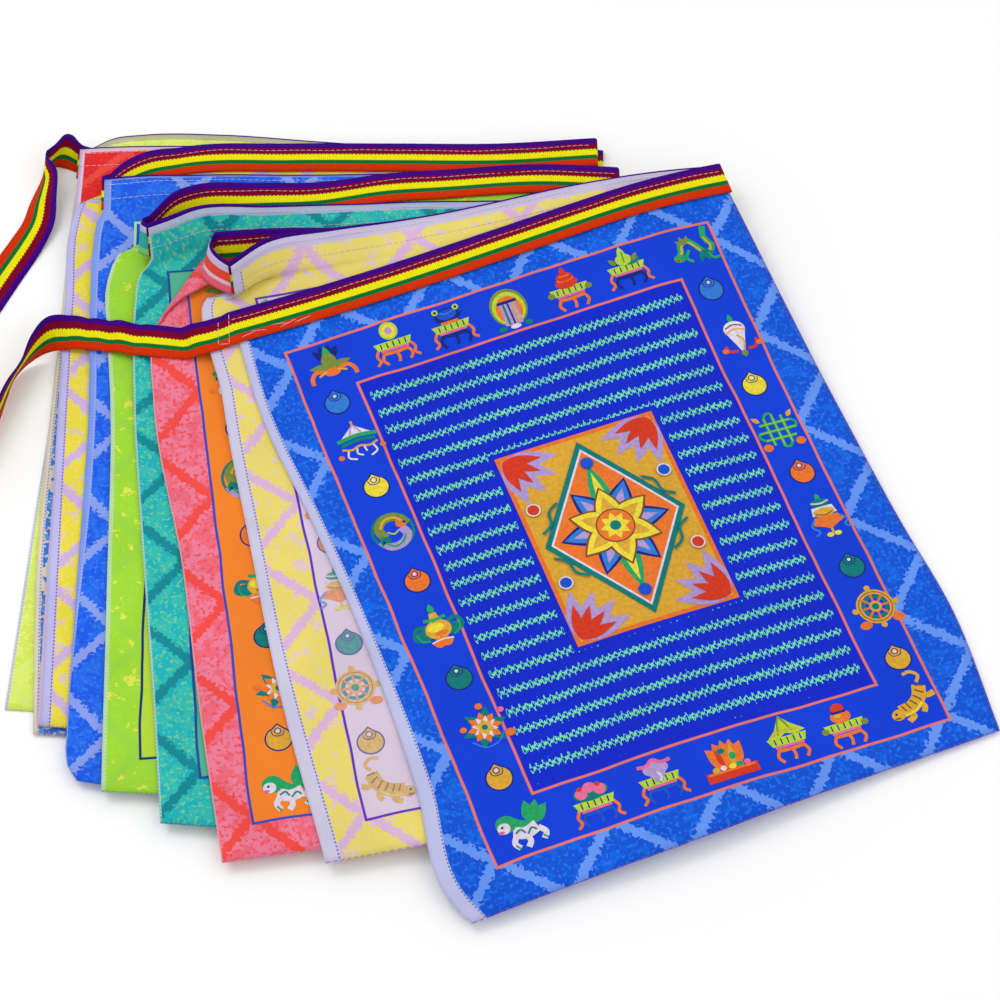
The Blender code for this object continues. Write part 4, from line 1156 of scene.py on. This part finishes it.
def print_place(points, index):
    """Plan points of the places in a print, in millimetres; the inverse of print_uv."""
    x, y, angle, side, gather = PRINTS[index]
    a = math.radians(angle)
    down = points[..., 1]
    upper = down * (1 - 2 * gather / FRAME_H) + gather
    down = np.where(down < FRAME_H / 2, upper, down) - (FRAME_H if side == "bottom" else 0.0)
    right = points[..., 0]
    return np.stack([x + right * math.cos(a) + down * math.sin(a),
                     y + right * math.sin(a) - down * math.cos(a)], axis=-1)


def strip_triangles(left, right):
    """Triangles of the band between two lines of points."""
    faces = []
    for a, b, c, d in zip(left, left[1:], right[1:], right):
        faces += [(a, b, c), (a, c, d)]
    return faces


def shape_triangles(kind, values):
    """Triangles of one shape of a motif."""
    if kind == "disc":
        x, y, across, down = values
        turn = np.linspace(0.0, math.pi, DISC_STEPS)
        left = np.stack([x - across * np.sin(turn), y - down * np.cos(turn)], axis=-1)
        right = np.stack([x + across * np.sin(turn), y - down * np.cos(turn)], axis=-1)
        return strip_triangles(left, right)
    if kind == "leaf":
        x, y, length, width, heading = values
        t = np.linspace(0.0, 1.0, LEAF_STEPS)
        half = 0.5 * width * np.sin(math.pi * t ** 0.8)
        a = math.radians(heading)
        axis, side = np.array([math.sin(a), -math.cos(a)]), np.array([math.cos(a), math.sin(a)])
        middle = np.array([x, y]) + length * t[:, None] * axis
        return strip_triangles(middle - half[:, None] * side, middle + half[:, None] * side)
    if kind == "ring":
        x, y, radius, width = values
        turn = np.linspace(0.0, 2 * math.pi, 2 * DISC_STEPS)[:, None]
        spoke = np.concatenate([np.sin(turn), -np.cos(turn)], axis=1)
        middle = np.array([x, y])
        return strip_triangles(middle + (radius + width / 2) * spoke,
                               middle + (radius - width / 2) * spoke)
    if kind == "line":
        width, points = values[0], np.reshape(values[1:], (-1, 2)).astype(float)
        path = spline(points, LINE_STEPS) if len(points) > 2 else points
        along = unit(np.gradient(path, axis=0))
        side = np.column_stack([-along[:, 1], along[:, 0]]) * width / 2
        return strip_triangles(path - side, path + side)
    corners = np.reshape(values, (-1, 2)).astype(float)
    loop = [Vector((x, y, 0.0)) for x, y in corners]
    return [tuple(corners[i] for i in face) for face in tessellate_polygon([loop])]


def split(triangle, longest):
    """Halves a triangle until no side is longer than a limit."""
    sides = [np.linalg.norm(triangle[i] - triangle[i - 1]) for i in range(3)]
    i = int(np.argmax(sides))
    if sides[i] <= longest:
        return [triangle]
    a, b, c = triangle[i - 1], triangle[i], triangle[(i + 1) % 3]
    middle = 0.5 * (a + b)
    return split((a, middle, c), longest) + split((middle, b, c), longest)


def motif_triangles(mirrored):
    """Ink, height step and triangle of everything that a print shows, in its millimetres."""
    found = []
    for symbol, x, y, turn in LAYOUT:
        a = math.radians(turn)
        rotation = np.array([[math.cos(a), math.sin(a)], [-math.sin(a), math.cos(a)]])
        for step, (kind, ink, *values) in enumerate(SYMBOLS[symbol]):
            for triangle in shape_triangles(kind, values):
                corners = np.array(triangle) @ rotation + (x, y)
                if mirrored:
                    corners[:, 0] = FRAME_W - corners[:, 0]
                found += [(ink, step, part) for part in split(tuple(corners), MOTIF_SIDE)]
    return found


def make_motifs(grid, index):
    """The motifs printed on one flag, as ink close above its upper side."""
    surface = sheet_tree(grid, SHEET_T / 2)
    mirrored = FLAGS[index][1] == "down"
    bm = bmesh.new()
    layer = bm.loops.layers.uv.new("print")
    slots = list(INKS)
    corners = {}
    for ink, step, triangle in motif_triangles(mirrored):
        verts = []
        for spot in triangle:
            key = (ink, step, round(spot[0], 3), round(spot[1], 3))
            if key not in corners:
                hit = seen_from_above(surface, print_place(spot, index))
                lift = MOTIF_LIFT + MOTIF_STEP * step
                corners[key] = hit and bm.verts.new(placed(np.array(hit) + (0.0, 0.0, lift)))
            verts.append(corners[key])
        if None in verts or len(set(verts)) < 3 or bm.faces.get(verts):
            continue
        face = bm.faces.new(verts)
        face.material_index = slots.index(ink)
        face.normal_update()
        if face.normal.z < 0:
            face.normal_flip()
        for loop in face.loops:
            spot = triangle[verts.index(loop.vert)]
            loop[layer].uv = spot
    mesh = bpy.data.meshes.new("motifs")
    bm.to_mesh(mesh)
    bm.free()
    for ink in slots:
        mesh.materials.append(ink_material(ink, INKS[ink], mirrored))
    mesh.shade_smooth()
    motifs = bpy.data.objects.new("printed_motifs_%02d" % (index + 1), mesh)
    bpy.context.scene.collection.objects.link(motifs)
    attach(motifs, "root")
    return motifs


def sheet_tree(grid, lift):
    """Search tree of a grid raised by a height, in millimetres."""
    columns, rows = grid.shape[:2]
    points = (grid + (0.0, 0.0, lift)).reshape(-1, 3).tolist()
    faces = [(i * rows + j, i * rows + j + 1, (i + 1) * rows + j + 1, (i + 1) * rows + j)
             for i in range(columns - 1) for j in range(rows - 1)]
    return BVHTree.FromPolygons(points, faces)


def seen_from_above(surface, spot):
    """Point of a search tree straight under a place of the plan, or None beside the surface."""
    return surface.ray_cast(Vector((*spot, RAY_HEIGHT)), Vector((0.0, 0.0, -1.0)))[0]


def band_grid(edges, t):
    """Points across a band at fractions of its width, from its two edges."""
    return edges[:, :1] * (1 - t)[None, :, None] + edges[:, 1:] * t[None, :, None]


def band_uv(along, across):
    """A UV value for each point of a grid, from one along it and one across it."""
    return np.stack(np.broadcast_arrays(along[:, None], across[None, :]), axis=-1)


def far_uv(grid):
    """Distances in millimetres from the flag's right edge and from its bottom edge."""
    return cloth_uv(grid[::-1, ::-1])[::-1, ::-1]


def make_flag(pile, index):
    """One flag with its print."""
    name = FLAGS[index][0]
    grid = cloth_grid(pile, index)
    uvs = {"cloth": cloth_uv(grid), "print": print_uv(grid, index), "far": far_uv(grid)}
    bm = sheet_mesh(grid, SHEET_T, uvs)
    flag = mesh_object(cloth_name(index), bm, flag_material(index))
    extras = [make_motifs(grid, index)] if index in MOTIF_FLAGS else []
    if FLAGS[index][1] == "down":
        extras.append(make_stitches(*pile.strip("cloth", index), SHEET_T / 2, index))
    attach(flag, "root")
    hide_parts("flag_%02d_%s" % (index + 1, name))
    return flag


def cloth_name(index):
    """Name of a flag's cloth."""
    return "cloth_%02d_%s" % (index + 1, FLAGS[index][0])


def make_stitches(top, low, lift, index):
    """Stitches along a run, on the side that shows: two rows, only the first where the print faces up.
    """
    bm = bmesh.new()
    layer = bm.loops.layers.uv.new("cloth")
    along = np.gradient(0.5 * (top + low), axis=0)
    out = unit(np.cross(low - top, along))
    rows = list(zip(STITCH_ROWS, STITCH_WAVES))
    if FLAGS[index][1] == "up":
        rows = rows[:1]
    for row, wave in rows:
        line = top + (low - top) * row / RIBBON_W + out * lift
        at = lengths(line)
        count = int(at[-1] / STITCH_PITCH)
        for k in range(count):
            middle = (k + 0.5) * STITCH_PITCH
            ends = middle + np.array([-0.5, 0.5]) * STITCH_LENGTH
            points = np.array([[np.interp(e, at, line[:, c]) for c in range(3)] for e in ends])
            up = unit(np.array([np.interp(middle, at, out[:, c]) for c in range(3)]))
            points += unit(low[0] - top[0]) * wave * math.sin(middle / 9.0) * math.cos(middle / 23.0)
            add_stitch(bm, layer, points, up, middle)
    stitches = mesh_object("stitches_%02d" % (index + 1), bm, thread_material())
    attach(stitches, "root")
    return stitches


def add_stitch(bm, layer, ends, up, place):
    """One stitch: a short thread that dips into the cloth at both ends."""
    along = unit(ends[1] - ends[0])
    side = np.cross(up, along)
    rings = []
    for t, size in zip(STITCH_SPOTS, STITCH_SIZES):
        middle = ends[0] + (ends[1] - ends[0]) * t + up * STITCH_RADIUS * (2 * size - 1)
        ring = []
        for k in range(6):
            a = math.radians(60 * k)
            offset = math.cos(a) * side + math.sin(a) * 0.7 * up
            ring.append(bm.verts.new(placed(middle + offset * STITCH_RADIUS * size)))
        rings.append(ring)
    faces = [bm.faces.new(rings[0]), bm.faces.new(rings[-1])]
    for a, b in zip(rings, rings[1:]):
        faces += [bm.faces.new((a[k], a[(k + 1) % 6], b[(k + 1) % 6], b[k])) for k in range(6)]
    for face in faces:
        for k, loop in enumerate(face.loops):
            loop[layer].uv = (place + 0.4 * k, 0.3 * k)


def make_ribbon(pile):
    """The ribbon, from one tail's end to the other's."""
    edges = np.array(ribbon_sections(pile))
    middle = edges.mean(axis=1)
    along = lengths(middle)
    t = np.linspace(0.0, 1.0, RIBBON_COLUMNS)
    grid = band_grid(edges, t)
    bm = sheet_mesh(grid, RIBBON_SHEET_T, {"cloth": band_uv(along, RIBBON_W * t)})
    ribbon = mesh_object("woven_ribbon", bm, ribbon_material())
    rows = [make_stitches(*pile.strip("ribbon", index), RIBBON_SHEET_T / 2, index)
            for index in range(len(FLAGS)) if FLAGS[index][1] == "up"]
    rows.append(make_loose_stitches(grid))
    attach(ribbon, "root")
    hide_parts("ribbon")
    return ribbon


def make_loose_stitches(grid):
    """The box of stitches on the front run of the ribbon, and loose thread ends beside it."""
    surface = sheet_tree(grid, RIBBON_SHEET_T / 2)
    bm = bmesh.new()
    layer = bm.loops.layers.uv.new("cloth")
    pairs = []
    for a, b in zip(BOX_STITCH, BOX_STITCH[1:] + BOX_STITCH[:1]):
        count = int(math.dist(a, b) / STITCH_PITCH)
        spots = np.linspace(a, b, count + 1)
        pairs += [(spots[k], 0.1 * spots[k] + 0.9 * spots[k + 1]) for k in range(count)]
    pairs += LOOSE_ENDS
    for place, pair in enumerate(pairs):
        hits = [seen_from_above(surface, spot) for spot in pair]
        if None not in hits:
            add_stitch(bm, layer, np.array(hits), np.array([0.0, 0.0, 1.0]), 5.0 * place)
    stitches = mesh_object("stitches_box", bm, thread_material())
    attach(stitches, "root")
    return stitches


def lining_material(bands):
    """Cloth around a turn of the ribbon, in bands from its raw top edge down."""
    g = Graph("turned_cloth", CLOTH_ROUGHNESS)
    u, v = g.uv("cloth")
    place = g.math("ADD", v, g.stray(g.point(u, v), 6.0, 2.0, 1.6))
    cloth_finish(g, stripes(g, place, bands, 0.5), u, v)
    return g.mat


def make_lining(pile, index, bands):
    """The flags' cloth where it goes around the outside of an open turn of the ribbon."""
    strips = [pile.strip("ribbon", i) for i in range(len(FLAGS))]
    ends = [(strips[i][0][0], strips[i][1][0]) for i in (index, index + 1)]
    edges = np.array([ends[0], *turn_sections(strips, index), ends[1]])
    middle = edges.mean(axis=1)
    out = unit(np.cross(edges[:, 1] - edges[:, 0], np.gradient(middle, axis=0)))
    if out[:, 0].mean() > 0:
        out = -out
    t = np.linspace(SEAM_INSET / RIBBON_W, 1.0, LINING_ROWS)
    grid = band_grid(edges, t) + LINING_LIFT * out[:, None]
    along = np.mean([lengths(row) for row in grid.swapaxes(0, 1)], axis=0)
    bm = sheet_mesh(grid, SHEET_T, {"cloth": band_uv(along, RIBBON_W * t)})
    lining = mesh_object("turned_cloth_%02d" % (index + 1), bm, lining_material(bands))
    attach(lining, "root")
    return lining


def make_turned_corner(pile):
    """The corner of the red flag that is turned over in front of the ribbon's open turn."""
    surface = sheet_tree(cloth_grid(pile, 2), SHEET_T / 2)
    left = spline(CORNER_LEFT, CORNER_STEPS)
    free = spline(CORNER_FREE, CORNER_STEPS)
    rim = np.array(CORNER_RIM)
    t = np.r_[np.linspace(0.0, 1.0, CORNER_ROWS), rim[:, 0]]
    drop = np.r_[np.zeros(CORNER_ROWS), rim[:, 1]]
    plan = left[:, None, :2] * (1 - t)[None, :, None] + free[:, None, :2] * t[None, :, None]
    lift = left[:, None, 2] * (1 - t)[None] ** 2 + free[:, None, 2] * (1 - (1 - t[None]) ** 2)
    grid = np.zeros(plan.shape[:2] + (3,))
    grid[..., :2] = plan
    for i, j in np.ndindex(*plan.shape[:2]):
        hit = seen_from_above(surface, plan[i, j])
        base = hit[2] if hit else float(pile.height(("cloth", 2), *plan[i, j])) + SHEET_T / 2
        grid[i, j, 2] = base + max(CORNER_GAP, lift[i, j] - min(drop[j], 0.5 * lift[i, j]))
    along = np.linspace(0.0, CORNER_LENGTH, CORNER_STEPS)
    uvs = {name: band_uv(down + along, right + CORNER_WIDTH * t)[..., ::-1]
           for name, (right, down) in CORNER_PLACES.items()}
    uvs["far"] = np.full(plan.shape, FAR_FROM_EDGES)
    bm = sheet_mesh(grid, SHEET_T, uvs)
    corner = mesh_object("turned_corner_03", bm, flag_material(2))
    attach(corner, "root")
    width = float(lengths(grid[0]).max())
    length = float(lengths(grid[:, CORNER_ROWS // 2]).max())
    return corner


def make_stage():
    """Pale floor, white surroundings and soft lights."""
    mesh = bpy.data.meshes.new("floor")
    half = FLOOR_SIZE / 2
    mesh.from_pydata([(-half, -half, 0), (half, -half, 0), (half, half, 0), (-half, half, 0)],
                     [], [(0, 1, 2, 3)])
    mesh.materials.append(plain_material("floor_white", FLOOR_COLOUR, 0.9))
    floor = bpy.data.objects.new("floor", mesh)
    bpy.context.scene.collection.objects.link(floor)
    world = bpy.data.worlds.new("studio")
    world.use_nodes = True
    world.node_tree.nodes["Background"].inputs["Color"].default_value = (1.0, 1.0, 1.0, 1.0)
    world.node_tree.nodes["Background"].inputs["Strength"].default_value = WORLD_STRENGTH
    bpy.context.scene.world = world
    for name, place, size, power in LIGHTS:
        data = bpy.data.lights.new(name, "AREA")
        data.size = size
        data.energy = power
        lamp = bpy.data.objects.new(name, data)
        lamp.location = place
        lamp.rotation_euler = (-Vector(place)).to_track_quat("-Z", "Y").to_euler()
        bpy.context.scene.collection.objects.link(lamp)


def make_camera():
    """A camera at the photograph's angle."""
    bpy.context.scene.view_settings.view_transform = "Standard"
    data = bpy.data.cameras.new("camera")
    data.sensor_width = SENSOR_W
    data.lens = LENS
    data.clip_end = CLIP_END
    camera = bpy.data.objects.new("camera", data)
    angle = math.radians(CAMERA_ELEVATION)
    away = Vector((0.0, -math.cos(angle), math.sin(angle)))
    camera.location = Vector(CAMERA_TARGET) + CAMERA_DISTANCE * away
    camera.rotation_euler = (math.pi / 2 - angle, 0.0, 0.0)
    bpy.context.scene.collection.objects.link(camera)
    bpy.context.scene.camera = camera


def main():
    """Everything on the stage."""
    pile = Pile()
    for index in range(len(FLAGS)):
        make_flag(pile, index)
    make_ribbon(pile)
    for index, bands in LININGS.items():
        make_lining(pile, index, bands)
    make_turned_corner(pile)
    make_stage()
    make_camera()


main()
